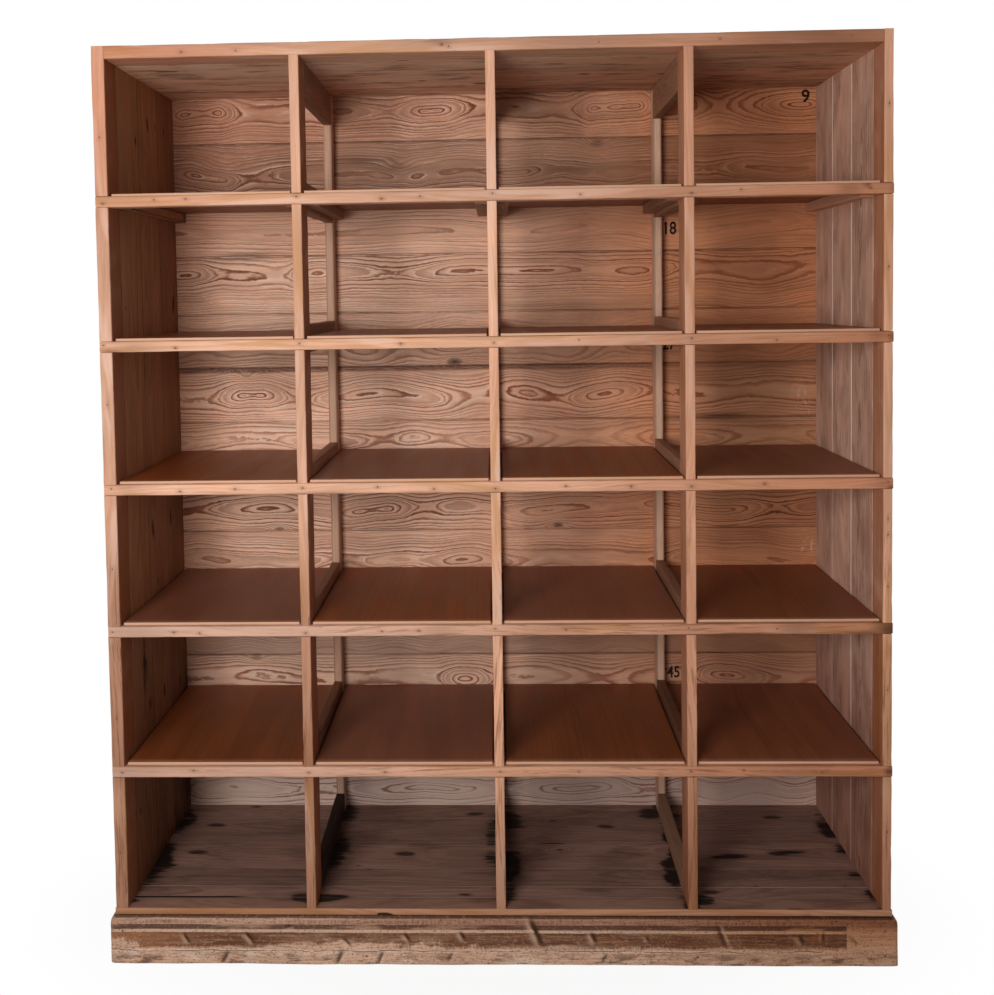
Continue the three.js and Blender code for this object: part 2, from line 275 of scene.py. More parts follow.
def home(*values):
    """The node tree of the first of some sockets and numbers that is a socket."""
    return next(value.id_data for value in values if isinstance(value, bpy.types.NodeSocket))


def calc(operation, a, b=0.0, c=0.0):
    """A sum of sockets and numbers, such as ADD, or MULTIPLY_ADD for a b + c."""
    return wire(home(a, b, c), "Math", {0: a, 1: b, 2: c}, operation=operation).outputs[0]


def times(*factors):
    """The product of masks, values and numbers."""
    product = factors[0]
    for factor in factors[1:]:
        product = calc("MULTIPLY", product, factor)
    return product


def fade(value, low, high, to_low=0.0, to_high=1.0):
    """A smooth step from to_low at low to to_high at high."""
    node = wire(value.id_data, "MapRange", {0: value, 1: low, 2: high, 3: to_low, 4: to_high},
                interpolation_type="SMOOTHSTEP")
    return node.outputs[0]


def between(value, low, high, soft):
    """A mask that is one between two values and fades over a soft distance inside each."""
    return times(fade(value, low, low + soft), fade(value, high, high - soft))


def tint(factor, a, b, mode="MIX"):
    """Colour a changed towards colour b by a factor, or blended with it in another mode."""
    node = wire(home(factor, a, b), "Mix", {0: factor, 6: a, 7: b}, data_type="RGBA", blend_type=mode)
    return node.outputs[2]


def stretched(vector, scale):
    """A place with each axis scaled by a number of its own."""
    return wire(vector.id_data, "VectorMath", {0: vector, 1: scale}, operation="MULTIPLY").outputs[0]


def noise(vector, scale, detail=2.0, roughness=0.5):
    """Cloudy noise, about none to one, with its own stretch along each axis."""
    inputs = {"Vector": stretched(vector, scale), "Scale": 1.0, "Detail": detail, "Roughness": roughness}
    return wire(vector.id_data, "TexNoise", inputs).outputs["Fac"]


def new_finish(name):
    """A new material, its node tree and its shader."""
    material = bpy.data.materials.new(name)
    material.use_nodes = True
    return material, material.node_tree, material.node_tree.nodes["Principled BSDF"]


def shader_group(name, ins, outs):
    """An empty node group with number sockets, and a vector socket for Grain, and its two end nodes."""
    tree = bpy.data.node_groups.new(name, "ShaderNodeTree")
    for labels, way in ((ins, "INPUT"), (outs, "OUTPUT")):
        for label in labels:
            kind = "NodeSocketVector" if label == "Grain" else "NodeSocketFloat"
            tree.interface.new_socket(label, in_out=way, socket_type=kind)
    return tree, tree.nodes.new("NodeGroupInput").outputs, tree.nodes.new("NodeGroupOutput").inputs


# Pine as it grew: yearly rings about the heart line, pale at first and dark late in each year, some
# years stronger than others, pushed aside by knots. Fibres run along it, and clouds of age lie over it.
figure, given, result = shader_group("pine_figure", ("Grain", "Ring", "Waver", "Knots", "Streaks", "Push"),
                                     ("Late", "Spring", "Fibre", "Knot", "Streak", "Cloud", "Patch"))
axes = wire(figure, "SeparateXYZ", {0: given["Grain"]}).outputs


def cells(along, across):
    """Scattered points on the board's face, so many to a metre along and across it."""
    flat = wire(figure, "CombineXYZ", {0: times(axes[0], along), 1: times(axes[2], across)}).outputs[0]
    return wire(figure, "TexVoronoi", {"Vector": flat, "Scale": 1.0}, voronoi_dimensions="2D")


knot_cells = cells(3.1, 7.5)
knot_chance = wire(figure, "SeparateColor", {0: knot_cells.outputs["Color"]}).outputs
present = calc("LESS_THAN", knot_chance[0], given["Knots"])
knot_size = calc("MULTIPLY_ADD", knot_chance[1], 0.05, 0.025)
nearness = calc("DIVIDE", knot_cells.outputs["Distance"], knot_size)
pull = calc("EXPONENT", times(nearness, nearness, -0.12))
pull = times(pull, present, 0.022)
slow = calc("SUBTRACT", noise(given["Grain"], (3.2, 16.0, 16.0), 1.0), 0.5)
quick = calc("SUBTRACT", noise(given["Grain"], (24.0, 60.0, 60.0), 3.0, 0.6), 0.5)
waver = times(calc("MULTIPLY_ADD", quick, 0.5, slow), given["Waver"])
pull = calc("ADD", pull, given["Push"])
squares = calc("MULTIPLY_ADD", axes[1], axes[1], times(axes[2], axes[2]))
radius = calc("ADD", calc("SQRT", squares), calc("ADD", waver, pull))
age = calc("DIVIDE", radius, given["Ring"])
lean_years = wire(figure, "TexNoise", {"W": age, "Scale": 0.31, "Detail": 1.0}, noise_dimensions="1D")
age = calc("MULTIPLY_ADD", lean_years.outputs["Fac"], 3.0, age)
season = calc("FRACT", age)
year = wire(figure, "TexWhiteNoise", {"W": calc("FLOOR", age)}, noise_dimensions="1D")
strength = fade(year.outputs["Value"], 0.0, 1.0, 0.35, 1.0)
late = times(fade(season, 0.38, 0.84), fade(season, 1.0, 0.92))
fading = fade(noise(given["Grain"], (4.5, 18.0, 18.0), 2.0), 0.32, 0.62, 0.5, 1.0)
off_heart = fade(calc("ABSOLUTE", axes[2]), 0.02, 0.075, 1.0, 0.55)
shown = times(strength, fading, off_heart)
feed(times(late, shown), result["Late"])
spring = times(fade(season, 0.0, 0.06), fade(season, 0.3, 0.08))
gleam = fade(noise(given["Grain"], (9.0, 30.0, 30.0), 2.0), 0.45, 0.62)
feed(times(spring, gleam), result["Spring"])
feed(noise(given["Grain"], (8.0, 380.0, 380.0), 3.0, 0.6), result["Fibre"])
knot_mask = times(fade(nearness, 1.3, 0.7), present)
feed(knot_mask, result["Knot"])
ragged = noise(given["Grain"], (30.0, 200.0, 200.0), 2.0)
streak_cells = cells(5.0, 13.0)
streak_chance = wire(figure, "SeparateColor", {0: streak_cells.outputs["Color"]}).outputs
streak_size = calc("MULTIPLY_ADD", streak_chance[1], 0.10, 0.05)
streak_edge = calc("MULTIPLY_ADD", ragged, 0.10, streak_cells.outputs["Distance"])
streak = fade(calc("DIVIDE", streak_edge, streak_size), 1.5, 0.8)
streak_here = calc("LESS_THAN", streak_chance[0], given["Streaks"])
feed(times(streak, streak_here), result["Streak"])
feed(noise(given["Grain"], (2.2, 26.0, 26.0), 3.0, 0.55), result["Cloud"])
feed(noise(given["Grain"], (3.5, 8.0, 8.0), 2.0), result["Patch"])

STREAK_COLOUR = "#1e110b"


class Pine:
    """A pine finish while its material is put together: its sockets, and the colour so far."""

    def __init__(self, name, early, late, knot, ring=0.0045, waver=0.006, knots=0.12, streaks=0.0,
                 contrast=0.85, spread=0.35, aged=0.25, fibre=0.12):
        self.material, tree, self.shader = new_finish(name)
        self.grain = wire(tree, "Attribute", attribute_name="grain").outputs["Vector"]
        self.tone, self.bold, self.edge, self.mark = [
            wire(tree, "Attribute", attribute_name=label).outputs["Fac"]
            for label in ("tone", "bold", "edge", "mark")]
        self.place = wire(tree, "TexCoord").outputs["Object"]
        self.axes = wire(tree, "SeparateXYZ", {0: self.place}).outputs
        group = wire(tree, "Group", {"Grain": self.grain, "Ring": ring, "Waver": waver, "Knots": knots,
                                     "Streaks": streaks}, node_tree=figure)
        self.push, self.wood = group.inputs["Push"], group.outputs
        base = tint(times(self.wood["Late"], contrast, self.bold), linear(early), linear(late))
        base = tint(fade(self.wood["Patch"], 0.35, 0.72, 0.0, aged), base, linear(late))
        fibres = fade(self.wood["Fibre"], 0.25, 0.75, 1 - fibre, 1 + 0.8 * fibre)
        clouds = fade(self.wood["Cloud"], 0.25, 0.75, 0.84, 1.12)
        level = times(fibres, clouds, calc("MULTIPLY_ADD", self.tone, spread, 1 - spread / 2))
        base = wire(tree, "VectorMath", {0: base, "Scale": level}, operation="SCALE").outputs[0]
        self.colour = tint(times(self.wood["Knot"], 0.85), base, linear(knot))
        if streaks:
            self.wash(STREAK_COLOUR, self.wood["Streak"], 0.85)
        self.rough = fade(self.wood["Fibre"], 0.2, 0.8, 0.68, 0.54)
        self.height = calc("MULTIPLY_ADD", self.wood["Late"], 0.5, self.wood["Fibre"])

    def wash(self, colour, *factors, mode="MIX"):
        """Lays a colour over the wood as far as the product of the factors says."""
        self.colour = tint(times(*factors), self.colour, linear(colour), mode)

    def noise(self, scale, detail=2.0, roughness=0.5):
        """Cloudy noise that is fixed to the place on the piece, not to its grain."""
        return noise(self.place, scale, detail, roughness)

    def done(self, relief=0.0004, specular=0.18):
        """Joins the colour, roughness and relief to the shader, and gives back the material."""
        self.shader.inputs["Specular IOR Level"].default_value = specular
        feed(self.colour, self.shader.inputs["Base Color"])
        feed(self.rough, self.shader.inputs["Roughness"])
        inputs = {"Height": self.height, "Distance": relief, "Strength": 0.6}
        feed(wire(home(self.height), "Bump", inputs).outputs[0], self.shader.inputs["Normal"])
        return self.material


# Named sizes of the plinth moulding, out from the case and up from the floor
front_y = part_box("stile_left")[0].y
case_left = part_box("stile_left")[0].x
case_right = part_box("stile_right")[1].x
plinth_low, plinth_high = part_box("plinth_front")
plinth_top = plinth_high.z
projection = front_y - plinth_low.y
plinth_inside = projection - (plinth_high.y - plinth_low.y)
SLOPE_FOOT = plinth_top - 0.015
GROOVE_FOOT = SLOPE_FOOT - 0.012
BAND_TOP = GROOVE_FOOT - 0.006
BAND_FOOT = BAND_TOP - 0.040
FOOT_ROUND = 0.005
BAND_SUNK = 0.0015
GROOVE_SUNK = 0.003
FLARE = 0.004

turn = np.linspace(0, np.pi / 2, 5)
foot = np.stack([projection - FOOT_ROUND + FOOT_ROUND * np.sin(turn),
                 FOOT_ROUND - FOOT_ROUND * np.cos(turn)], 1)
share = np.linspace(0, 1, 7)
slope = np.stack([projection * (1 - share ** 2) + FLARE * share ** 2,
                  SLOPE_FOOT + (plinth_top - SLOPE_FOOT) * share * (1.15 - 0.15 * share)], 1)
carved_heights = [BAND_FOOT - 0.001, BAND_FOOT + BAND_SUNK, BAND_TOP - BAND_SUNK, BAND_TOP, GROOVE_FOOT,
                  GROOVE_FOOT + BAND_SUNK, SLOPE_FOOT - BAND_SUNK, SLOPE_FOOT]
carved_depths = [0, BAND_SUNK, BAND_SUNK, 0, 0, GROOVE_SUNK, GROOVE_SUNK, 0]
face = np.stack([np.full(len(carved_heights) - 1, projection), carved_heights[:-1]], 1)
moulding = np.concatenate([[[plinth_inside, 0.0]], foot, face, slope, [[plinth_inside, plinth_top]]])
moulding = subdivided(moulding, 0.004)

# The moulding starts and ends in plain blocks, over a soft distance. The board's corners are worn round
CORNER_ROUND = 0.010
START_BLOCK = case_left + 0.012
START_SOFT = 0.006
END_BLOCK = 0.767
END_SOFT = 0.002

# Knocks in the front board: place along and up, lean in degrees, half length, half width, depth, and how
# much paler than the wood around it the knock is, or darker if less than nothing
PLINTH_KNOCKS = [
    (-0.713, 0.057, -58, 0.013, 0.0050, 0.0022, 0.8), (-0.569, 0.058, -50, 0.015, 0.0055, 0.0024, 0.9),
    (-0.620, 0.016, 58, 0.016, 0.0056, 0.0028, -1.0), (-0.350, 0.048, -45, 0.013, 0.0055, 0.0028, 0.7),
    (-0.360, 0.018, 65, 0.017, 0.0062, 0.0030, -1.0), (-0.268, 0.017, 66, 0.015, 0.0052, 0.0028, -1.0),
    (-0.213, 0.060, -52, 0.011, 0.0050, 0.0020, 0.9), (-0.090, 0.064, -60, 0.011, 0.0055, 0.0024, 0.9),
    (-0.112, 0.019, 60, 0.011, 0.0046, 0.0022, -0.9), (0.072, 0.072, -66, 0.032, 0.0075, 0.0032, 1.0),
    (0.202, 0.061, -65, 0.013, 0.0060, 0.0020, 0.9), (0.234, 0.018, 58, 0.011, 0.0048, 0.0022, -0.9),
    (0.324, 0.059, -60, 0.008, 0.0045, 0.0018, 0.6), (0.493, 0.068, -68, 0.024, 0.0052, 0.0028, -1.0),
    (0.436, 0.018, 8, 0.007, 0.0025, 0.0012, -0.8), (0.661, 0.057, -60, 0.011, 0.0065, 0.0018, 0.8),
    (0.711, 0.069, 88, 0.011, 0.0040, 0.0015, 0.7), (0.785, 0.060, -42, 0.015, 0.0050, 0.0020, -0.6),
    (-0.640, 0.086, -5, 0.030, 0.0040, 0.0004, -0.5), (-0.475, 0.087, 10, 0.010, 0.0035, 0.0012, -0.9)]
# A knock's paleness in its core, the strength, offset and width of the painted shadow beside a pale knock,
# and the share of that which makes the pale lip beside a dark knock
KNOCK_PALE = 0.8
KNOCK_SHADE = 1.5
KNOCK_ASIDE = 1.4
KNOCK_SHADOW_WIDTH = 0.75
LIP_SHARE = 0.6


def knocked(points):
    """Depth and paleness of the knocks at points. Each is a scoop of depth times
    exp(-(a / length)^4 - (b / width)^2), with a along its lean and b across it. Beside a pale one lies
    a painted shadow, and beside a dark one its pale lip. The deepest and the strongest count."""
    deepest = np.zeros(points.shape[:-1])
    paleness = np.zeros(points.shape[:-1])
    for x, z, lean, length, width, depth, pale in PLINTH_KNOCKS:
        along, up = points[..., 0] - x, points[..., 2] - z
        cosine, sine = math.cos(math.radians(lean)), math.sin(math.radians(lean))
        a, b = along * cosine + up * sine, up * cosine - along * sine
        beside = b - KNOCK_ASIDE * width * np.sign(-sine)
        core = np.exp(-(a / length) ** 4 - (b / width) ** 2)
        shade = KNOCK_SHADE * np.exp(-(a / length) ** 4 - (beside / (KNOCK_SHADOW_WIDTH * width)) ** 2)
        deepest = np.maximum(deepest, depth * core)
        change = pale * (KNOCK_PALE * core - shade) if pale > 0 else pale * (core - LIP_SHARE * shade)
        paleness = np.where(np.abs(change) > np.abs(paleness), change, paleness)
    return deepest, paleness


def worn_corner(gap):
    """Wear that rounds a mitred corner, from a point's distance to it: how far the point slides away
    from the corner, and how far an arc of the corner's radius then draws it in."""
    mitre_share = 1 - math.sqrt(0.5)
    slide = mitre_share * CORNER_ROUND * np.clip(1 - gap / CORNER_ROUND, 0, 1)
    reach = np.clip(CORNER_ROUND - gap - slide, 0, CORNER_ROUND)
    return slide, CORNER_ROUND - np.sqrt(CORNER_ROUND ** 2 - reach ** 2)


def wear_front_board(points):
    """Rounds the front board's corners, sinks its band and groove between the plain ends, and knocks its
    face."""
    out = front_y - points[..., 1]
    for edge_x, side in ((case_left, -1), (case_right, 1)):
        slide, inwards = worn_corner(np.maximum(side * (edge_x - points[..., 0]) + out, 0))
        points[..., 0] -= side * slide
        points[..., 1] += inwards
    carved = np.clip((END_BLOCK + END_SOFT - points[..., 0]) / END_SOFT, 0, 1)
    carved *= np.clip((points[..., 0] - START_BLOCK) / START_SOFT, 0, 1)
    sunk = np.interp(points[..., 2], carved_heights, carved_depths)
    points[..., 1] += np.where(out > 0, carved * sunk + knocked(points)[0], 0)


plinth_pine = Pine("plinth_pine", "#d8b39b", "#a67c62", "#3a2115", ring=0.006, knots=0.1, contrast=0.5,
                   spread=0.1, fibre=0.2)
across, behind, height = plinth_pine.axes

# Brown varnish in the sunk band, nibbled away along its lower edge and gone in patches on the left
moulded = times(fade(across, END_BLOCK + 0.003, END_BLOCK), fade(across, case_left - 0.018, case_left))
worn = plinth_pine.noise((14.0, 14.0, 75.0), 4.0, 0.65)
nibbles = plinth_pine.noise((230.0, 1.0, 60.0), 3.0, 0.6)
bare = fade(plinth_pine.noise((6.0, 1.0, 20.0), 4.0, 0.65), 0.42, 0.72)
bare = times(bare, fade(across, 0.25, -0.35, 0.35, 1.0))
wear_line = calc("MULTIPLY_ADD", nibbles, 0.016, calc("MULTIPLY_ADD", bare, 0.026, BAND_FOOT - 0.007))
varnish = fade(calc("SUBTRACT", height, wear_line), -0.002, 0.008)
varnish = times(varnish, fade(height, BAND_TOP, BAND_TOP - 0.0015), moulded)
brushed = plinth_pine.noise((7.0, 1.0, 170.0), 4.0, 0.65)
plinth_pine.wash("#5f3820", varnish, fade(brushed, 0.33, 0.56, 0.6, 0.97))
plinth_pine.wash("#94603a", varnish, fade(worn, 0.52, 0.68, 0.0, 0.55))
plinth_pine.wash("#9a775f", varnish, fade(across, 0.1, -0.4), fade(bare, 0.0, 0.6), 0.65)
golden_end = times(varnish, fade(across, -0.62, -0.86), fade(brushed, 0.3, 0.6, 0.5, 1.0), 0.8)
plinth_pine.wash("#a06a45", golden_end)

# Purple-brown grime smeared in the groove, thinner up the slope, and a dark line under the case
smears = fade(plinth_pine.noise((4.5, 1.0, 30.0), 3.0, 0.6), 0.4, 0.58)
in_groove = between(height, GROOVE_FOOT - 0.0005, SLOPE_FOOT + 0.001, 0.002)
plinth_pine.wash("#54362b", in_groove, moulded, fade(smears, 0.0, 1.0, 0.3, 0.9))
on_slope = between(height, SLOPE_FOOT - 0.001, plinth_top - 0.004, 0.004)
hatching = fade(plinth_pine.noise((160.0, 1.0, 30.0), 2.0), 0.42, 0.6)
plinth_pine.wash("#7d5d4e", on_slope, smears, fade(hatching, 0.0, 1.0, 0.25, 0.6))
plinth_pine.wash("#4b271b", fade(height, plinth_top - 0.0040, plinth_top - 0.0025), 0.85)

# Below the band the strip is scrubbed pale, with grey scuffs, and a wavy crack runs along it
below_band = fade(height, BAND_FOOT, BAND_FOOT - 0.003)
mottle = fade(plinth_pine.noise((18.0, 18.0, 70.0), 4.0, 0.72), 0.49, 0.62)
low_down = fade(height, 0.030, 0.012, 0.45, 0.9)
plinth_pine.wash("#6b513f", below_band, mottle, low_down)
scrubbed = fade(plinth_pine.noise((11.0, 11.0, 60.0), 4.0, 0.7), 0.5, 0.66, 0.0, 0.5)
plinth_pine.wash("#f0d8c8", below_band, scrubbed)
# A painted highlight along the lower edge of the band, broken up in patches
band_foot_highlight = times(between(height, BAND_FOOT - 0.007, BAND_FOOT + 0.002, 0.003), fade(worn, 0.38, 0.55), 0.55)
plinth_pine.wash("#ecd2c0", band_foot_highlight)
ridge = times(between(height, BAND_TOP - 0.0005, GROOVE_FOOT + 0.001, 0.002), moulded)
plinth_pine.wash("#dcbaa4", ridge, fade(worn, 0.35, 0.5), 0.6)
crack_height = calc("MULTIPLY_ADD", plinth_pine.noise((11.0, 11.0, 3.0), 4.0, 0.6), -0.016, height)
crack = between(crack_height, BAND_FOOT - 0.0115, BAND_FOOT - 0.0085, 0.0012)
plinth_pine.wash("#41261b", crack, fade(worn, 0.42, 0.52), 0.85)
specks = fade(plinth_pine.noise((210.0, 1.0, 260.0), 2.0), 0.56, 0.66, 0.0, 0.6)
plinth_pine.wash("#664433", specks)
pale_specks = fade(plinth_pine.noise((170.0, 2.0, 330.0), 2.0), 0.56, 0.68, 0.0, 0.35)
plinth_pine.wash("#c39f88", pale_specks)
slope_shade = times(fade(height, GROOVE_FOOT - 0.004, SLOPE_FOOT), fade(across, -0.6, 0.0, 0.3, 0.85))
plinth_pine.wash("#c3aea2", slope_shade, mode="MULTIPLY")
plinth_pine.wash("#d9b79f", plinth_pine.mark, 0.75)
# Dark knocks, and the painted shadow beside each pale knock
plinth_pine.wash("#37200f", plinth_pine.mark, -0.95)
darker_right = times(fade(across, 0.1, 0.75), fade(height, BAND_FOOT - 0.01, BAND_TOP, 0.6, 1.0))
plinth_pine.wash("#dabfa4", darker_right, mode="MULTIPLY")
plinth_material = plinth_pine.done(relief=0.0008)

plinth = Timber()
near_corners = np.array([0.001, 0.002, 0.0035, 0.005, 0.0075, 0.010])
block_ends = [END_BLOCK, END_BLOCK + END_SOFT, START_BLOCK, START_BLOCK + START_SOFT]
corner_stations = np.concatenate([case_left + near_corners - projection,
                                  case_right - near_corners + projection, block_ends])
carry(plinth, 0, np.stack([front_y - moulding[:, 0], moulding[:, 1]], 1)[::-1],
      (case_left - moulding[:, 0])[::-1], (case_right + moulding[:, 0])[::-1], step=0.0032, seed=11,
      uneven=0.0005, swell=0.0005, stations=corner_stations, shape=wear_front_board,
      mark=lambda points: knocked(points)[1])
plinth.piece("pine_plinth_front", plinth_material, ["plinth_front"])
back_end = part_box("plinth_left")[1].y
for label, side, edge_x, seed in (("left", -1, case_left, 12), ("right", 1, case_right, 13)):
    board = Timber()
    section = np.stack([moulding[:, 1], edge_x + side * moulding[:, 0]], 1)
    ends = front_y - moulding[:, 0]
    if side > 0:
        section, ends = section[::-1], ends[::-1]

    def wear_side_board(points, side=side, edge_x=edge_x):
        """Rounds the corner that the side board shares with the front board."""
        out = side * (points[..., 0] - edge_x)
        slide, inwards = worn_corner(np.maximum(points[..., 1] - front_y + out, 0))
        points[..., 1] += slide
        points[..., 0] -= side * inwards

    carry(board, 1, section, ends, back_end, step=0.012, seed=seed, uneven=0.0004,
          stations=front_y - projection + near_corners, shape=wear_side_board)
    board.piece(f"pine_plinth_{label}", plinth_material, [f"plinth_{label}"])


# Floor: tongued pine boards along the width, lying on the plinth and on three bearers. The front
# board's edge shows as a base rail. Long use has left it grey-brown, with black damp in its joints.

# Tongued boards: chamfer, the flat beside it, the tongue's reach and half thickness, its play in the
# groove, how far an arris shows wear, how unevenly boards were laid, and the narrowest board
CHAMFER = 0.0011
CHAMFER_RIM = 0.003
TONGUE_REACH = 0.005
TONGUE_HALF = 0.0022
TONGUE_PLAY = 0.0006
TONGUE_SIDE_PLAY = 0.0004
ARRIS_FADE = 0.0022
LAID_UNEVEN = 0.0004
LEAST_BOARD = 0.02


def tongued(low, high, under, face, groove, tongue, step):
    """Section of a tongued board as (across, through) points, anticlockwise, with a small chamfer at
    each arris, a groove cut in its low edge and a tongue on its high edge. Also each point's
    nearness to an arris."""
    middle = (under + face) / 2
    nick = CHAMFER * 0.3
    flat_low, flat_high = low + CHAMFER + CHAMFER_RIM, high - CHAMFER - CHAMFER_RIM
    corners = [(low + CHAMFER, under), (flat_low, under), (flat_high, under), (high - CHAMFER, under),
               (high - nick, under + nick), (high, under + CHAMFER)]
    if tongue:
        tip = high + TONGUE_REACH
        corners += [(high, middle - TONGUE_HALF), (tip, middle - TONGUE_HALF),
                    (tip, middle + TONGUE_HALF), (high, middle + TONGUE_HALF)]
    corners += [(high, face - CHAMFER), (high - nick, face - nick), (high - CHAMFER, face),
                (flat_high, face), (flat_low, face), (low + CHAMFER, face), (low + nick, face - nick),
                (low, face - CHAMFER)]
    if groove:
        half, end = TONGUE_HALF + TONGUE_SIDE_PLAY, low + (TONGUE_REACH + TONGUE_PLAY)
        corners += [(low, middle + half), (end, middle + half), (end, middle - half), (low, middle - half)]
    corners += [(low, under + CHAMFER), (low + nick, under + nick)]
    outline = subdivided(corners, step)
    arrises = np.array([(low, under), (high, under), (low, face), (high, face)])
    gaps = np.linalg.norm(outline[:, None] - arrises[None], axis=-1).min(1)
    return outline, np.exp(-gaps / ARRIS_FADE)


def boards(timber, run, through_first, start, end, widths, ends, thickness, seed, gap=0.0012, step=0.014,
           mark=None, looks=None, swell=0.0003):
    """Tongued boards side by side from start to end, each of its own width, the last taking the rest.
    thickness gives the lower and upper face; ends gives where the boards begin and stop; looks gives
    each board's tone, boldness and heart line, counted from the start."""
    towards = np.sign(end - start)
    joints = start + towards * np.cumsum(widths)
    places = np.concatenate([[start], joints[towards * (end - joints) > LEAST_BOARD], [end]])
    draw = np.random.default_rng(seed)
    last = len(places) - 2
    for index in range(last + 1):
        low, high = sorted(places[index:index + 2])
        room = gap * draw.uniform(0.5, 1.6)
        lift = draw.uniform(-LAID_UNEVEN, LAID_UNEVEN)
        lowest, highest = (index == 0, index == last) if towards > 0 else (index == last, index == 0)
        outline, edge = tongued(low + room / 2, high - room / 2, thickness[0] + lift, thickness[1] + lift,
                                not lowest, not highest, step)
        if through_first:
            outline, edge = outline[::-1, ::-1], edge[::-1]
        board_seed = seed * 100 + index
        tone, bold, heart = looks[index] if looks else (None, 1.0, None)
        if heart is None:
            off_middle = draw.uniform(-0.3, 0.3) * (high - low)
            heart = heart_line(board_seed, depth=0.03, roam=0.012, side=off_middle)
        carry(timber, run, outline, *ends, step, board_seed, uneven=0.00015, edge=edge, mark=mark,
              heart=heart, swell=swell, tone=tone, bold=bold)


floor_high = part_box("floor_boards")[1]
floor_top = floor_high.z
floor_under = plinth_top
back_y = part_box("back_boards")[0].y
FLOOR_BOARD_WIDTHS = [0.047, 0.046, 0.080, 0.125, 0.125]
BEARER_WIDTH = 0.045
BEARER_GAP = 0.0003
BEARER_ARRIS = 0.002
wall_places = [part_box("stile_left")[1].x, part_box("stile_right")[0].x]
for number in (1, 2, 3):
    wall_places += [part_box(f"divider_sill_{number}")[0].x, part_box(f"divider_sill_{number}")[1].x]


def on_face(y, depth, places):
    """Blots on an upright face at y, for rows of place across and up, reach across and up, strength."""
    return [((x, y, z), (wide, depth, tall), strength) for x, z, wide, tall, strength in places]


BASE_RAIL_STAINS = on_face(front_y, 0.004, (
    (-0.258, 0.1095, 0.024, 0.0055, 2.0), (0.685, 0.113, 0.016, 0.006, 1.1),
    (0.075, 0.117, 0.010, 0.005, 1.0)))

# Where water stood on the floor: place across and back, reach across and back, strength
PUDDLES = [(-0.845, -0.06, 0.055, 0.13, 1.2), (-0.845, 0.16, 0.045, 0.10, 1.1),
           (-0.85, -0.22, 0.05, 0.02, 1.1), (-0.45, -0.205, 0.045, 0.022, 1.3),
           (-0.40, -0.205, 0.075, 0.022, 1.4), (-0.405, -0.03, 0.045, 0.12, 1.2),
           (-0.40, 0.17, 0.05, 0.08, 1.1), (-0.02, 0.05, 0.03, 0.14, 1.0),
           (0.02, -0.08, 0.03, 0.16, 1.2), (0.02, 0.17, 0.05, 0.08, 1.2),
           (0.41, -0.12, 0.028, 0.11, 1.1), (0.40, 0.19, 0.05, 0.05, 1.2),
           (0.14, 0.04, 0.07, 0.012, 1.0), (0.25, -0.17, 0.05, 0.010, 1.0),
           (0.46, -0.21, 0.03, 0.025, 1.3), (0.72, 0.0, 0.06, 0.012, 1.0),
           (0.84, 0.10, 0.035, 0.07, 1.1), (0.84, -0.10, 0.03, 0.03, 1.0),
           (0.56, -0.02, 0.05, 0.012, 0.9), (0.80, -0.155, 0.02, 0.014, 1.0),
           (0.845, 0.02, 0.03, 0.05, 1.1), (0.85, -0.19, 0.025, 0.03, 1.2),
           (0.79, 0.07, 0.05, 0.012, 1.0)]


def damp(points):
    """Where damp has crept in from the walls and sills, exp(-d / reach) of the distance to the nearest,
    and where water stood. The front edge stays dry but for its own few stains."""
    crept_reach, edge_depth = 0.018, 0.003
    gaps = np.abs(points[..., 0, None] - np.array(wall_places)).min(-1)
    behind = points[..., 1] > front_y + edge_depth
    pools = [((x, y, floor_top), (wide, deep, 1.0), strength) for x, y, wide, deep, strength in PUDDLES]
    crept = np.maximum(0.8 * np.exp(-gaps / crept_reach), spots(points, pools))
    return np.maximum(crept * behind, spots(points, BASE_RAIL_STAINS))


floor_pine = Pine("floor_pine", "#a68275", "#664a3f", "#241613", ring=0.008, knots=0.2, streaks=0.3,
                  contrast=0.48, spread=0.4, fibre=0.2)
across, behind, height = floor_pine.axes
front_edge = fade(behind, front_y + 0.004, front_y + 0.001)
edge_colour = tint(times(floor_pine.wood["Late"], 0.5), linear("#bb8c6d"), linear("#8f6146"))
edge_colour = tint(fade(floor_pine.wood["Cloud"], 0.45, 0.7), edge_colour, linear("#a8744e"))
floor_pine.colour = tint(front_edge, floor_pine.colour, edge_colour)
clusters = floor_pine.noise((2.6, 10.0, 1.0), 2.0)
spikes = calc("MULTIPLY_ADD", floor_pine.noise((8.0, 125.0, 30.0), 3.0, 0.65), 0.6, clusters)
damp_cover = calc("MULTIPLY_ADD", floor_pine.mark, 0.5, spikes)
front_strip = times(fade(behind, front_y + 0.049, front_y + 0.044), fade(front_edge, 1.0, 0.0))
floor_pine.wash("#8d6650", front_strip, 0.45)
soaked = fade(floor_pine.mark, 0.05, 0.9, 0.0, 0.45)
floor_pine.wash("#3a2822", soaked, fade(clusters, 0.35, 0.6))
blotches = fade(floor_pine.noise((5.0, 16.0, 1.0), 4.0, 0.6), 0.48, 0.68, 0.0, 0.4)
floor_pine.wash("#4a342c", blotches, fade(front_edge, 1.0, 0.0))
floor_pine.wash("#150e0c", fade(damp_cover, 1.14, 1.27, 0.0, 0.93))
floor_pine.wash("#5e4a40", floor_pine.edge, fade(behind, front_y + 0.01, front_y + 0.02), 0.6)
first_joint = front_y + FLOOR_BOARD_WIDTHS[0]
second_joint = first_joint + FLOOR_BOARD_WIDTHS[1]
gaping = between(calc("MULTIPLY_ADD", clusters, 0.004, behind), first_joint, first_joint + 0.0055, 0.001)
left_cell = fade(across, -0.56, -0.62)
beside_post = between(across, -0.42, -0.32, 0.05)
floor_pine.wash("#0d0806", gaping, calc("ADD", left_cell, beside_post))
rubbed_joint = between(behind, second_joint - 0.003, second_joint + 0.003, 0.0015)
floor_pine.wash("#b39280", rubbed_joint, 0.7)
floor_material = floor_pine.done()

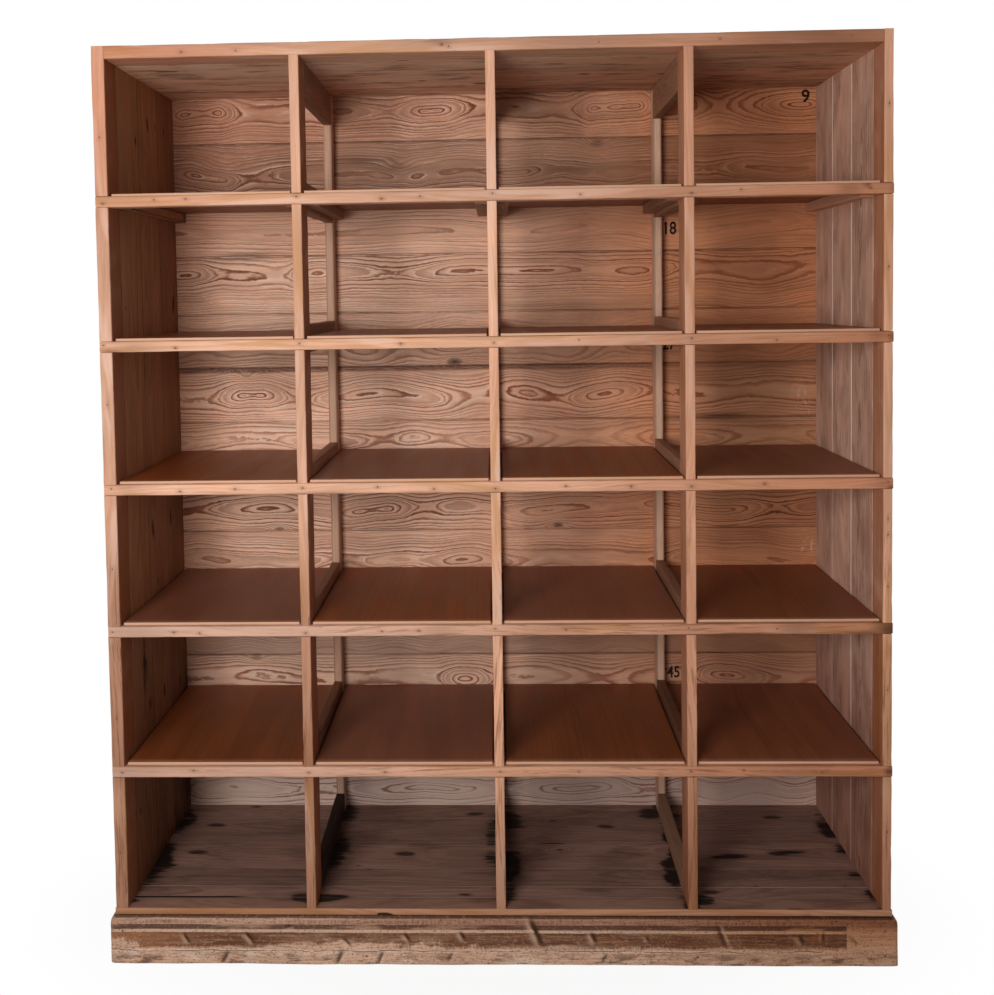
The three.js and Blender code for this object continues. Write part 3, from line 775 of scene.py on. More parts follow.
floor = Timber()
outer_floor = (case_left - FLARE * 0.5, case_right + FLARE * 0.5)
boards(floor, 0, False, front_y, back_y, FLOOR_BOARD_WIDTHS, outer_floor, (floor_under, floor_top),
       seed=21, mark=damp)
for number in (1, 2, 3):
    post_low, post_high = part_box(f"front_post_{number}")
    middle_x = (post_low.x + post_high.x) / 2
    bar(floor, 1, (0.0, middle_x - BEARER_WIDTH / 2),
        (floor_under - BEARER_GAP, middle_x + BEARER_WIDTH / 2),
        (plinth_high.y + BEARER_GAP, floor_high.y), arris=BEARER_ARRIS, steps=(0.03, 0.05),
        seed=24 + number, ease=BEARER_ARRIS)
floor.piece("pine_floor", floor_material, ["floor_boards"])


# Sides: upright tongued boards behind the stiles, standing on the floor, with a sawn ledger nailed
# on under each row of shelf panels.
SIDE_BOARD_WIDTHS = [0.145, 0.145]
LEDGER_WIDTH = 0.028
LEDGER_HEIGHT = 0.024
LEDGER_ARRIS = 0.0015
LEDGER_GAP = 0.001
SAWN = 0.0004
END_EASE = 0.0015
case_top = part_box("stile_left")[1].z
stile_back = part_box("stile_left")[1].y
dark_pine = Pine("side_pine_dark", "#b07f5c", "#80502f", "#3b2318", ring=0.007, knots=0.12, streaks=0.4,
                 contrast=0.6, spread=0.5, fibre=0.2)
pale_pine = Pine("side_pine_pale", "#e2b9a4", "#98694f", "#5a3a2a", ring=0.008, waver=0.018, knots=0.05,
                 streaks=0.03, contrast=0.7, fibre=0.1)
wall_mould = fade(dark_pine.noise((1.0, 45.0, 16.0), 4.0, 0.7), 0.34, 0.56)
dark_pine.wash("#140c0a", dark_pine.mark, wall_mould, 0.95)
dark_pine.wash("#2a150d", fade(dark_pine.edge, 0.35, 0.8, 0.0, 0.55))
knot_break = dark_pine.noise((1.0, 160.0, 70.0), 3.0, 0.7)
loose_knot = calc("MULTIPLY_ADD", knot_break, 0.9, dark_pine.mark)
dark_pine.wash("#0b0605", fade(loose_knot, 1.62, 1.8, 0.0, 0.95))
beyond_stile = fade(pale_pine.axes[1], stile_back + 0.006, stile_back + 0.02)
smoky = fade(pale_pine.noise((1.0, 18.0, 7.0), 3.0, 0.6), 0.46, 0.64, 0.0, 0.38)
pale_pine.wash("#8f6552", smoky)
bleach = fade(pale_pine.noise((1.0, 26.0, 10.0), 4.0, 0.6), 0.5, 0.68, 0.0, 0.42)
pale_pine.wash("#ecd0c0", bleach)
pale_pine.wash("#f4e2d6", fade(pale_pine.edge, 0.1, 0.7), beyond_stile, 0.85)
pale_pine.wash("#d69d7b", pale_pine.mark, 0.85)
for pine in (dark_pine, pale_pine):
    pine.wash("#bfaba6", fade(pine.axes[2], 0.85, 0.25), mode="MULTIPLY")
side_materials = {"left": dark_pine.done(), "right": pale_pine.done()}
panel_under = [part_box(f"shelf_panel_{row}_1")[0].z for row in range(1, 6)]

# Arches in the pale wall's front board, each wall's tone, boldness and heart line from the front board on,
# and the dark wall's damp, with a loose knot and the chip below it
ARCHES = ((1.75, 0.12, -0.012), (1.45, 0.10, -0.014), (1.1, 0.12, -0.014), (0.8, 0.12, -0.012),
          (0.5, 0.10, -0.014), (0.25, 0.08, -0.012))
DARK_LOOKS = [(0.75, 1.0, None), (0.6, 0.8, None), (0.15, 0.8, None)]
WALL_DAMP = (((0.0, back_y, 0.455), (9.0, 0.045, 0.07), 1.0),
             ((0.0, back_y, 0.20), (9.0, 0.09, 0.12), 1.0),
             ((0.0, 0.08, 0.125), (9.0, 0.18, 0.022), 0.9),
             ((0.0, -0.092, 0.632), (9.0, 0.014, 0.040), 2.0),
             ((0.0, -0.088, 0.586), (9.0, 0.012, 0.020), 1.6))
arched_heart = heart_line(361, depth=0.030, roam=0.004, side=0.01, sway=0.006, eyes=ARCHES)
PALE_LOOKS = [(0.6, 1.25, arched_heart), (1.0, 0.8, None), (0.5, 0.6, None)]


def all_over(share):
    """A mark of one strength on every point of a length of wood."""
    return lambda points: np.full(points.shape[:-1], share)


for label, side, seed in (("left", -1, 31), ("right", 1, 36)):
    stile_low, stile_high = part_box(f"stile_{label}")
    inner = stile_high.x if side < 0 else stile_low.x
    side_low, side_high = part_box(f"side_boards_{label}")
    outer = side_low.x if side < 0 else side_high.x
    wall = Timber()
    boards(wall, 2, True, stile_back, back_y, SIDE_BOARD_WIDTHS, (floor_top, case_top),
           sorted((inner, outer)), seed, looks=PALE_LOOKS if side > 0 else DARK_LOOKS,
           mark=None if side > 0 else lambda points: spots(points, WALL_DAMP))
    edges = sorted((inner, inner - side * LEDGER_WIDTH))
    for row, under in enumerate(panel_under):
        bar(wall, 1, (under - LEDGER_HEIGHT, edges[0]), (under, edges[1]),
            (stile_back + LEDGER_GAP, back_y - LEDGER_GAP), LEDGER_ARRIS, steps=(0.02, 0.03),
            seed=seed * 10 + row, uneven=SAWN, ease=END_EASE, mark=all_over(1.0) if side > 0 else None)
    wall.piece(f"pine_side_{label}", side_materials[label], [f"side_boards_{label}"])


# Back: horizontal tongued boards of uneven width, flat sawn, nailed to the back edges of the sides
# and to the divider frames. Their figure of long arches and eyes is what shows in every cell.
BACK_BOARD_WIDTHS = [0.148, 0.149, 0.149, 0.154, 0.142, 0.146, 0.147, 0.147, 0.170, 0.169, 0.142, 0.145]

# From the top board down: tone, boldness, the heart's depth and height above the board's middle, and eyes
BACK_FIGURE = [(0.55, 0.95, 0.040, 0.006,
                ((-0.80, 0.05, -0.028), (-0.735, 0.045, -0.026), (-0.40, 0.05, -0.020),
                 (-0.16, 0.07, -0.034), (0.297, 0.055, -0.034), (0.384, 0.035, -0.028),
                 (0.595, 0.07, 0.012), (0.813, 0.06, -0.030))),
               (0.12, 0.7, 0.028, -0.012,
                ((-0.757, 0.05, -0.018), (-0.70, 0.04, -0.010), (-0.271, 0.045, -0.018),
                 (-0.20, 0.03, -0.012), (0.081, 0.09, -0.020), (0.281, 0.05, 0.012),
                 (0.808, 0.07, -0.014))),
               (0.95, 0.4, 0.032, -0.017,
                ((-0.737, 0.15, -0.014), (-0.32, 0.20, -0.016), (0.1, 0.2, -0.012), (0.6, 0.2, -0.012))),
               (0.72, 0.95, 0.038, 0.027,
                ((-0.813, 0.06, -0.028), (-0.474, 0.06, -0.028), (0.02, 0.20, -0.030),
                 (0.368, 0.10, -0.022), (0.70, 0.2, 0.010))),
               (0.70, 0.5, 0.042, -0.020, ((-0.10, 0.05, -0.014), (0.40, 0.15, 0.010))),
               (0.88, 0.95, 0.042, -0.010,
                ((-0.652, 0.07, -0.036), (-0.33, 0.14, -0.028), (0.285, 0.09, -0.030))),
               (0.80, 0.6, 0.036, 0.020,
                ((-0.71, 0.12, -0.012), (-0.214, 0.06, -0.014), (0.20, 0.15, 0.012))),
               (0.82, 0.95, 0.036, -0.022,
                ((-0.59, 0.08, -0.030), (-0.321, 0.10, -0.030), (0.14, 0.09, -0.028),
                 (0.52, 0.18, -0.028))),
               (0.72, 0.75, 0.032, 0.0,
                ((-0.746, 0.10, -0.016), (-0.096, 0.06, -0.016), (0.30, 0.20, 0.012),
                 (0.65, 0.20, -0.012))),
               (0.42, 0.4, 0.050, 0.02, ((-0.3, 0.3, 0.012),)),
               (0.92, 1.1, 0.044, 0.004,
                ((-0.652, 0.09, -0.014), (-0.085, 0.055, -0.036), (0.30, 0.10, 0.010),
                 (0.61, 0.07, -0.036))),
               (0.65, 0.7, 0.035, 0.0, ((-0.5, 0.15, -0.012), (0.3, 0.2, 0.012))),
               (0.85, 1.2, 0.040, -0.014,
                ((-0.68, 0.15, -0.016), (-0.17, 0.16, -0.032), (0.22, 0.14, -0.030),
                 (0.65, 0.2, -0.015)))]
BACK_STAINS = on_face(back_y, 1, (
    (-0.34, 1.862, 0.07, 0.010, 0.6), (-0.66, 1.614, 0.07, 0.009, 0.8), (-0.27, 1.838, 0.12, 0.008, 0.3),
    (0.25, 1.83, 0.16, 0.008, 0.3), (0.15, 1.472, 0.30, 0.014, 0.4), (0.60, 1.172, 0.10, 0.009, 0.9),
    (-0.86, 0.46, 0.035, 0.06, 0.95), (-0.86, 0.17, 0.05, 0.10, 0.95), (-0.40, 0.43, 0.03, 0.03, 0.6),
    (0.05, 1.74, 0.05, 0.03, 0.5), (-0.38, 0.22, 0.03, 0.06, 0.5), (0.03, 0.2, 0.03, 0.09, 0.7),
    (0.66, 1.26, 0.24, 0.07, 0.16), (0.68, 0.50, 0.22, 0.06, 0.15), (0.24, 0.15, 0.20, 0.07, 0.2),
    (0.68, 1.60, 0.22, 0.08, 0.12)))
BACK_FLECKS = on_face(back_y, 1, (
    (0.818, 1.213, 0.020, 0.045, 1.0), (0.826, 0.826, 0.022, 0.022, 1.0), (0.30, 1.16, 0.012, 0.03, 0.7),
    (0.80, 0.12, 0.10, 0.035, 0.6)))
STAIN_DEPTH = 0.004

# Knots in the back boards: place across and up, radius, and how dark
BACK_KNOTS = [(-0.102, 1.326, 0.010, 0.85), (-0.661, 1.296, 0.006, 0.3), (0.168, 0.885, 0.007, 0.8),
              (-0.581, 0.881, 0.006, 0.6), (-0.652, 0.530, 0.008, 0.6), (-0.245, 1.845, 0.010, 0.1),
              (0.281, 1.895, 0.009, 0.5), (-0.71, 1.85, 0.012, 0.05)]
back_low, back_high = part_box("back_boards")
back_pine = Pine("back_pine", "#ecc3a9", "#8d4d2e", "#40261a", ring=0.0066, waver=0.013, knots=0.03,
                 contrast=1.0, spread=0.6)
across, behind, height = back_pine.axes

# One knot: how far it pushes the rings aside, and its own dark core with a paler ring
single, given, result = shader_group("single_knot", ("Across", "Up", "Radius"), ("Push", "Core"))
KNOT_STRETCH = 0.5
stretched_across = times(given["Across"], KNOT_STRETCH)
upwards = times(given["Up"], given["Up"])
from_knot = calc("SQRT", calc("MULTIPLY_ADD", stretched_across, stretched_across, upwards))
radii = calc("DIVIDE", from_knot, given["Radius"])
bulge = calc("EXPONENT", times(radii, radii, -0.22))
feed(times(bulge, 0.016), result["Push"])
feed(times(fade(radii, 1.2, 0.75), fade(radii, 0.1, 0.7, 1.0, 0.65)), result["Core"])
pushed, cores = 0.0, 0.0
for knot_x, knot_z, radius, darkness in BACK_KNOTS:
    knot = wire(home(across), "Group", {"Across": calc("SUBTRACT", across, knot_x), "Radius": radius,
                                        "Up": calc("SUBTRACT", height, knot_z)}, node_tree=single)
    pushed = calc("ADD", knot.outputs["Push"], pushed)
    cores = calc("MAXIMUM", times(knot.outputs["Core"], darkness), cores)
feed(pushed, back_pine.push)
back_pine.wash("#3a2017", cores)
back_pine.wash("#f8e2d2", back_pine.wood["Spring"], back_pine.bold, 0.55)
left_side = fade(across, 0.35, -0.35)
back_pine.wash("#6a2f16", back_pine.wood["Late"], left_side, 0.42)
back_pine.wash("#fff0e4", back_pine.wood["Spring"], left_side, 0.5)

# Painted shade: browner and darker to the right, and darker along the left wall. Age: greyer low down, a
# stained strip under a joint, dark joints, damp and flecks
# Painted shade, browner and darker towards the right-hand cells
back_pine.wash("#d8b69a", fade(across, -0.25, 0.6), mode="MULTIPLY")
back_pine.wash("#e2cdc2", fade(height, 1.5, 1.9), fade(across, 0.3, -0.7), mode="MULTIPLY")
grey_right = times(fade(across, 0.45, 0.62), fade(height, 1.36, 1.26), fade(height, 0.7, 1.1))
back_pine.wash("#e6f4ff", grey_right, mode="MULTIPLY")
spared = fade(back_pine.wood["Late"], 0.1, 0.8, 1.0, 0.35)
back_pine.wash("#8f8582", fade(height, 0.75, 0.40, 0.0, 0.36), spared)
back_pine.wash("#e3d3ce", fade(height, 0.34, 0.20, 0.0, 0.52), spared)
# Painted shade near the left wall
back_pine.wash("#d2c2b8", fade(across, -0.64, -0.86), mode="MULTIPLY")
streaks = fade(back_pine.wood["Fibre"], 0.25, 0.7, 0.5, 1.2)
stained_joint = back_high.z - sum(BACK_BOARD_WIDTHS[:5])
strip_foot = calc("MULTIPLY_ADD", back_pine.noise((3.0, 1.0, 1.0), 3.0), -0.016, stained_joint - 0.006)
strip = fade(calc("SUBTRACT", height, strip_foot), -0.004, 0.004)
strip = times(strip, fade(height, stained_joint + 0.001, stained_joint), fade(across, 0.9, -0.2, 0.4, 0.8))
back_pine.wash("#6a4030", strip, streaks)
back_pine.wash("#3d241a", back_pine.mark, streaks)
broken_up = fade(back_pine.noise((90.0, 1.0, 60.0), 4.0, 0.7), 0.5, 0.72)
flecks = times(fade(back_pine.mark, -0.05, -0.7), broken_up)
back_pine.wash("#e3c7b4", flecks, 0.6)
joint_dirt = fade(back_pine.noise((2.2, 1.0, 7.0), 2.0), 0.35, 0.6, 0.3, 0.85)
back_pine.wash("#432a1f", fade(back_pine.edge, 0.3, 0.8), joint_dirt)
back_material = back_pine.done()
back = Timber()
back_looks = []
for number, (tone, bold, depth, side, eyes) in enumerate(BACK_FIGURE):
    heart = heart_line(4100 + number, depth, roam=0.0055, side=side, sway=0.006, eyes=eyes,
                       waves=(0.16, 0.55))
    back_looks.append((tone, bold, heart))


def back_marks(points):
    """Stains on the back's front face, less the flecks, which are marked below nothing."""
    on_front = points[..., 1] < back_low.y + STAIN_DEPTH
    return (spots(points, BACK_STAINS) - spots(points, BACK_FLECKS)) * on_front


boards(back, 0, True, back_high.z, back_low.z, BACK_BOARD_WIDTHS, (back_low.x, back_high.x),
       (back_low.y, back_high.y), seed=41, gap=0.0018, step=0.011, looks=back_looks, mark=back_marks)
back.piece("pine_back", back_material, ["back_boards"])

# Cell numbers: black paint dabbed through a stencil, partly rubbed away. Each stands where a number
# can be read: its digits, place across and up, and height.
paint, tree, shader = new_finish("stencil_paint")
rubbed = noise(wire(tree, "TexCoord").outputs["Object"], (120.0, 120.0, 420.0), 4.0, 0.7)
feed(tint(fade(rubbed, 0.5, 0.72), linear("#1d1513"), linear("#7a543f")), shader.inputs["Base Color"])
shader.inputs["Roughness"].default_value = 0.8
shader.inputs["Specular IOR Level"].default_value = 0.15
PAINT_PROUD = 0.0006
PAIR_NARROWED = 0.8
NUMBERS = (("9", 0.824, 2.008, 0.034), ("18", 0.472, 1.671, 0.034), ("27", 0.466, 1.366, 0.032),
           ("45", 0.472, 0.486, 0.032))
for digits, middle_x, middle_z, height in NUMBERS:
    curve = bpy.data.curves.new(f"number_{digits}", "FONT")
    curve.body = digits
    curve.resolution_u = 5
    curve.offset = 0.02
    curve.extrude = 0.01
    shaped = bpy.data.objects.new(f"shaped_{digits}", curve)
    mesh = bpy.data.meshes.new_from_object(shaped)
    bpy.data.objects.remove(shaped)
    flat = np.empty(len(mesh.vertices) * 3)
    mesh.vertices.foreach_get("co", flat)
    flat = flat.reshape(-1, 3)
    low, high = flat.min(0), flat.max(0)
    centred = (flat - (low + high) / 2) * height / (high[1] - low[1])
    centred[:, 0] *= PAIR_NARROWED if len(digits) > 1 else 1.0
    standing = np.stack([middle_x + centred[:, 0], back_low.y - np.sign(centred[:, 2]) * PAINT_PROUD,
                         middle_z + centred[:, 1]], axis=1)
    mesh.vertices.foreach_set("co", standing.ravel())
    mesh.materials.clear()
    mesh.materials.append(paint)
    number = stand(f"number_{digits}", mesh)
    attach(number, "root")


# Top: boards along the width behind the top rail, between the sides, lying on the divider heads.
# From the front they are the sooty, streaked ceiling over the highest row.
TOP_BOARD_WIDTHS = [0.160, 0.160]
top_low, top_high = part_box("top_boards")
# The early colour is the pine's own made paler; the extra is painted light that brightens the ceiling
top_pine = Pine("top_pine", "#ffd4b6", "#b98666", "#2e1a12", ring=0.007, knots=0.35, streaks=0.4,
                contrast=0.6)
sooty = fade(top_pine.noise((6.0, 24.0, 1.0), 4.0, 0.65), 0.48, 0.66, 0.0, 0.68)
top_pine.wash("#80553d", sooty)
rubbed = fade(top_pine.noise((3.6, 34.0, 1.0), 3.0, 0.6), 0.48, 0.64, 0.0, 0.8)
top_pine.wash("#f8d8c2", rubbed)
top_pine.wash("#4a2c1e", fade(top_pine.edge, 0.3, 0.8, 0.0, 0.6))
across, behind, height = top_pine.axes
top_pine.wash("#e2d4cc", fade(across, -0.05, 0.35), mode="MULTIPLY")
top_material = top_pine.done()
ceiling = Timber()
boards(ceiling, 0, False, top_low.y, top_high.y, TOP_BOARD_WIDTHS, (top_low.x, top_high.x),
       (top_low.z, top_high.z), seed=51)
ceiling.piece("pine_top", top_material, ["top_boards"])


# Divider frames: slim sawn pine between front post and back, left open so that a row runs through.
# Each has a back post and head rail, a rail with two ledgers at every shelf, and a sill.
POST_ARRIS = 0.002
POST_STEPS = (0.014, 0.014)
STICK_STEPS = (0.007, 0.012)
PLANED = 0.0003
ARRIS_CHIPS = 0.0008
divider_pine = Pine("divider_pine", "#a87c64", "#7a523c", "#2c1911", ring=0.004, knots=0.08, contrast=0.5)
across, behind, height = divider_pine.axes
bleached = fade(divider_pine.wood["Fibre"], 0.3, 0.6, 0.7, 0.95)
divider_pine.wash("#eec8ae", divider_pine.mark, bleached)
arris_dirt = times(fade(divider_pine.edge, 0.4, 0.9), divider_pine.mark, 0.45)
divider_pine.wash("#54321f", arris_dirt)
unbleached = fade(divider_pine.mark, 0.0, 0.8, 1.0, 0.35)
divider_pine.wash("#b8a8a2", fade(height, 1.0, 0.4), unbleached, mode="MULTIPLY")
soaked = fade(divider_pine.mark, 0.0, -1.0, 0.0, 0.97)
divider_pine.wash("#150d0b", soaked, fade(divider_pine.wood["Fibre"], 0.2, 0.7, 1.0, 0.9))
divider_material = divider_pine.done()


def stick(name, node, run, arris, seed, material, slot, **looks):
    """A straight piece that fills its CAD node's box, with rounded arrises and ends."""
    low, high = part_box(node)
    u_axis, v_axis = SECTION_AXES[run]
    timber = Timber()
    bar(timber, run, (low[u_axis], low[v_axis]), (high[u_axis], high[v_axis]), (low[run], high[run]),
        arris, STICK_STEPS, seed, uneven=PLANED, ease=min(arris, END_EASE), chips=ARRIS_CHIPS, **looks)
    timber.piece(name, material, [node])


HEAD_RAIL_HEIGHT = 0.080
SILL_AGE = (-1.0, -0.4, 0.33)
POST_BLEACH = (0.68, 0.85, 0.9)
for number in (1, 2, 3):
    frame_low, frame_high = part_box(f"back_post_with_head_{number}")
    rail_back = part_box(f"divider_rail_{number}_1")[1].y
    left, right = frame_low.x, frame_high.x
    upright = Timber()
    bar(upright, 2, (left, rail_back), (right, frame_high.y), (frame_low.z, frame_high.z), POST_ARRIS,
        POST_STEPS, seed=60 + number, uneven=PLANED, ease=END_EASE, mark=all_over(POST_BLEACH[number - 1]))
    bar(upright, 1, (frame_high.z - HEAD_RAIL_HEIGHT, left), (frame_high.z, right),
        (frame_low.y, rail_back), POST_ARRIS, POST_STEPS, seed=64 + number, uneven=PLANED, ease=END_EASE)
    upright.piece(f"pine_back_post_{number}", divider_material,
                  [f"back_post_with_head_{number}"])
    stick(f"pine_sill_{number}", f"divider_sill_{number}", 1, POST_ARRIS, 67 + number, divider_material,
          "divider_frame", mark=all_over(SILL_AGE[number - 1]))
    for row in range(1, 6):
        low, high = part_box(f"divider_rail_{number}_{row}")
        under = panel_under[row - 1]
        cross = Timber()
        seed = 700 + number * 20 + row * 3
        bar(cross, 1, (low.z, left), (high.z, right), (low.y, high.y), POST_ARRIS, POST_STEPS, seed,
            uneven=PLANED, ease=END_EASE)
        for side, edges in enumerate(((low.x, left), (right, high.x))):
            bar(cross, 1, (under - LEDGER_HEIGHT, edges[0]), (under, edges[1]), (low.y, high.y),
                LEDGER_ARRIS, steps=(0.02, 0.02), seed=seed + 1 + side, uneven=SAWN, ease=END_EASE)
        cross.piece(f"pine_divider_rail_{number}_{row}", divider_material,
                    [f"divider_rail_{number}_{row}"])


# Front frame: stiles and thin posts of planed pine, notched for the shelf rails, which run the whole
# width flush with them and are nailed at every crossing. The top rail butts between the stiles.
frame_pine = Pine("frame_pine", "#e3b397", "#c08464", "#54301f", ring=0.007, waver=0.012, knots=0.0,
                  contrast=0.4, spread=0.3, fibre=0.06)
across, behind, height = frame_pine.axes
honey = noise(frame_pine.grain, (2.6, 45.0, 45.0), 2.0)
frame_pine.wash("#c9945f", fade(honey, 0.5, 0.68, 0.0, 0.6))
pink = noise(frame_pine.grain, (3.4, 30.0, 70.0), 2.0)
frame_pine.wash("#efc9b6", fade(pink, 0.52, 0.68, 0.0, 0.6))
scuffs = noise(frame_pine.grain, (6.0, 150.0, 150.0), 3.0, 0.65)
frame_pine.wash("#8a593b", fade(scuffs, 0.53, 0.66, 0.0, 0.6), fade(height, 1.25, 0.7))
frame_pine.wash("#efd6c6", fade(across, -0.1, 0.9), frame_pine.bold, mode="MULTIPLY")
frame_pine.wash("#bbada2", fade(height, 0.8, 0.05), mode="MULTIPLY")
low_rails = 0.0
for row in (4, 5):
    rail_foot, rail_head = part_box(f"shelf_rail_{row}")
    low_rails = calc("ADD", between(height, rail_foot.z - 0.001, rail_head.z + 0.001, 0.001), low_rails)
frame_pine.wash("#cbaea4", low_rails, fade(across, 0.1, -0.6), 0.42)
off_rails = fade(low_rails, 1.0, 0.0)
handled_left = times(off_rails, fade(across, -0.1, -0.4), fade(height, 1.05, 0.80),
                     fade(height, 0.36, 0.44))
frame_pine.wash("#d6cdc9", handled_left, mode="MULTIPLY")
handled_right = times(off_rails, fade(across, 0.80, 0.84), between(height, 0.38, 0.76, 0.06))
frame_pine.wash("#e7dfcd", handled_right, mode="MULTIPLY")
top_left = times(fade(across, -0.3, -0.8), fade(height, 1.5, 1.95))
frame_pine.wash("#ffebe4", top_left, mode="MULTIPLY")
dents = fade(frame_pine.noise((75.0, 75.0, 105.0), 3.0, 0.6), 0.71, 0.77, 0.0, 0.5)
frame_pine.wash("#8a5638", dents)
# Painted shade, warm brown, on the uprights' sides and round their rear arrises
frame_pine.wash("#8e4922", frame_pine.mark, -0.95)
# Rust round the nails, stains and dark wear, and the painted shade in the gap at the right stile's foot
frame_pine.wash("#45230f", frame_pine.mark, 0.88)
frame_material = frame_pine.done(specular=0.25)
rail_spans = [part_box(f"shelf_rail_{row}") for row in range(1, 6)]
rail_depth = rail_spans[0][1].y - front_y
SHOULDER = 0.0003
upright_names = ("stile_left", "front_post_1", "front_post_2", "front_post_3", "stile_right")
upright_middles = [(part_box(name)[0].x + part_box(name)[1].x) / 2 for name in upright_names]


class Notches:
    """Draws an upright's section back behind each shelf rail: depth y becomes
    notch + y (1 - notch / depth)."""

    def __init__(self, depth):
        self.depth = depth
        self.keep = 1 - (rail_depth + SHOULDER) / depth
        self.bounds = sorted((low.z - SHOULDER, high.z + SHOULDER) for low, high in rail_spans)
        self.stations = np.array([z + d for low, high in self.bounds
                                  for z, d in ((low, -SHOULDER), (low, 0), (high, 0), (high, SHOULDER))])

    def __call__(self, points):
        """Moves the points that lie within a notch's height."""
        height = points[..., 2]
        inside = np.zeros(height.shape, bool)
        hair = 1e-5
        for low, high in self.bounds:
            inside |= (height > low - hair) & (height < high + hair)
        back_face = front_y + self.depth
        squeezed = back_face - (back_face - points[..., 1]) * self.keep
        points[..., 1] = np.where(inside, squeezed, points[..., 1])


UPRIGHT_ARRIS = 0.0022
RAIL_ARRIS = 0.003
UPRIGHT_TONES = (0.5, 0.75, 1.4, 0.55, 1.0)
UPRIGHT_WARMTH = (1.0, 1.0, 1.0, 1.0, 0.35)
# How strongly painted shade darkens each upright's left and right side
SHADED_SIDES = {"stile_left": (0.0, 0.88), "front_post_1": (0.3, 0.9), "front_post_2": (0.3, 0.8),
                "front_post_3": (0.42, 0.7), "stile_right": (0.6, 0.0)}
# Painted shade in the gap at the right stile's foot, and a faint stain on the second post: centre, reach
# and strength
UPRIGHT_STAIN_AND_GAP_SHADE = {"stile_right": ((0.8505, stile_back, 0.20), (0.004, 0.006, 0.09), 1.0),
                  "front_post_2": ((upright_middles[2], front_y, 0.95), (0.03, 0.02, 0.18), 0.1)}
STILE_NAILS = {"stile_left": (1.86, 1.27, 0.90, 0.56, 0.25),
               "stile_right": (1.90, 1.55, 1.0, 0.965, 0.85, 0.62, 0.3)}
NAIL_STAIN = (0.007, 0.02, 0.0036)
STILE_STAIN = (0.003, 0.02, 0.007)
nail_places = []
for number, name in enumerate(upright_names):
    low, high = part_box(name)
    upright = Timber()
    notches = Notches(high.y - low.y)
    nails = [(upright_middles[number], front_y, z) for z in STILE_NAILS.get(name, ())]
    nail_places += nails
    stains = [(nail, STILE_STAIN, 0.5) for nail in nails]
    if name in UPRIGHT_STAIN_AND_GAP_SHADE:
        stains.append(UPRIGHT_STAIN_AND_GAP_SHADE[name])

    def stains_and_shade(points, shades=SHADED_SIDES[name], sides=(low.x, high.x), rear=high.y, stains=stains):
        """Rust round the nails, the upright's listed marks, and painted shade on the two sides and round
        their rear arrises.
        """
        arris_reach, rear_reach, side_reach = 0.0025, 0.004, 0.001
        cover = spots(points, stains)
        reach = np.where(points[..., 1] > rear - arris_reach, rear_reach, side_reach)
        for shade, x in zip(shades, sides):
            beside = np.clip(1.2 - np.abs(points[..., 0] - x) / reach, 0, 1)
            beside = beside * (points[..., 1] > front_y + arris_reach)
            cover = np.where(cover > 0.3, cover, cover - shade * beside)
        return cover

    bar(upright, 2, (low.x, low.y), (high.x, high.y), (low.z, high.z), UPRIGHT_ARRIS, steps=(0.007, 0.010),
        seed=800 + number, uneven=PLANED, chips=ARRIS_CHIPS, shape=notches, stations=notches.stations,
        mark=stains_and_shade, tone=UPRIGHT_TONES[number], bold=UPRIGHT_WARMTH[number])
    upright.piece(f"pine_{name}", frame_material, [name])

# The rails' tones, and where nails go through them
RAIL_TONES = {"top_rail": 0.45, "shelf_rail_1": 0.5, "shelf_rail_2": 0.9, "shelf_rail_3": 0.95,
              "shelf_rail_4": 0.7, "shelf_rail_5": 1.4}
RAIL_NAILS = {"top_rail": (-0.67, -0.55, -0.10, -0.085, 0.24, 0.50, 0.78),
              "shelf_rail_1": (-0.853, -0.739, -0.669, -0.424, -0.237, -0.152, 0.006, 0.197, 0.437,
                               0.544, 0.821),
              "shelf_rail_2": (-0.861, -0.70, -0.424, -0.20, 0.005, 0.191, 0.436, 0.62, 0.86),
              "shelf_rail_3": (-0.853, -0.698, -0.575, -0.424, -0.257, -0.132, 0.004, 0.159, 0.302,
                               0.434, 0.593, 0.86),
              "shelf_rail_4": (-0.86, -0.721, -0.663, -0.424, -0.253, -0.171, -0.001, 0.156, 0.426,
                               0.62, 0.86),
              "shelf_rail_5": (-0.847, -0.684, -0.424, -0.252, 0.006, 0.181, 0.43, 0.546, 0.718, 0.86)}

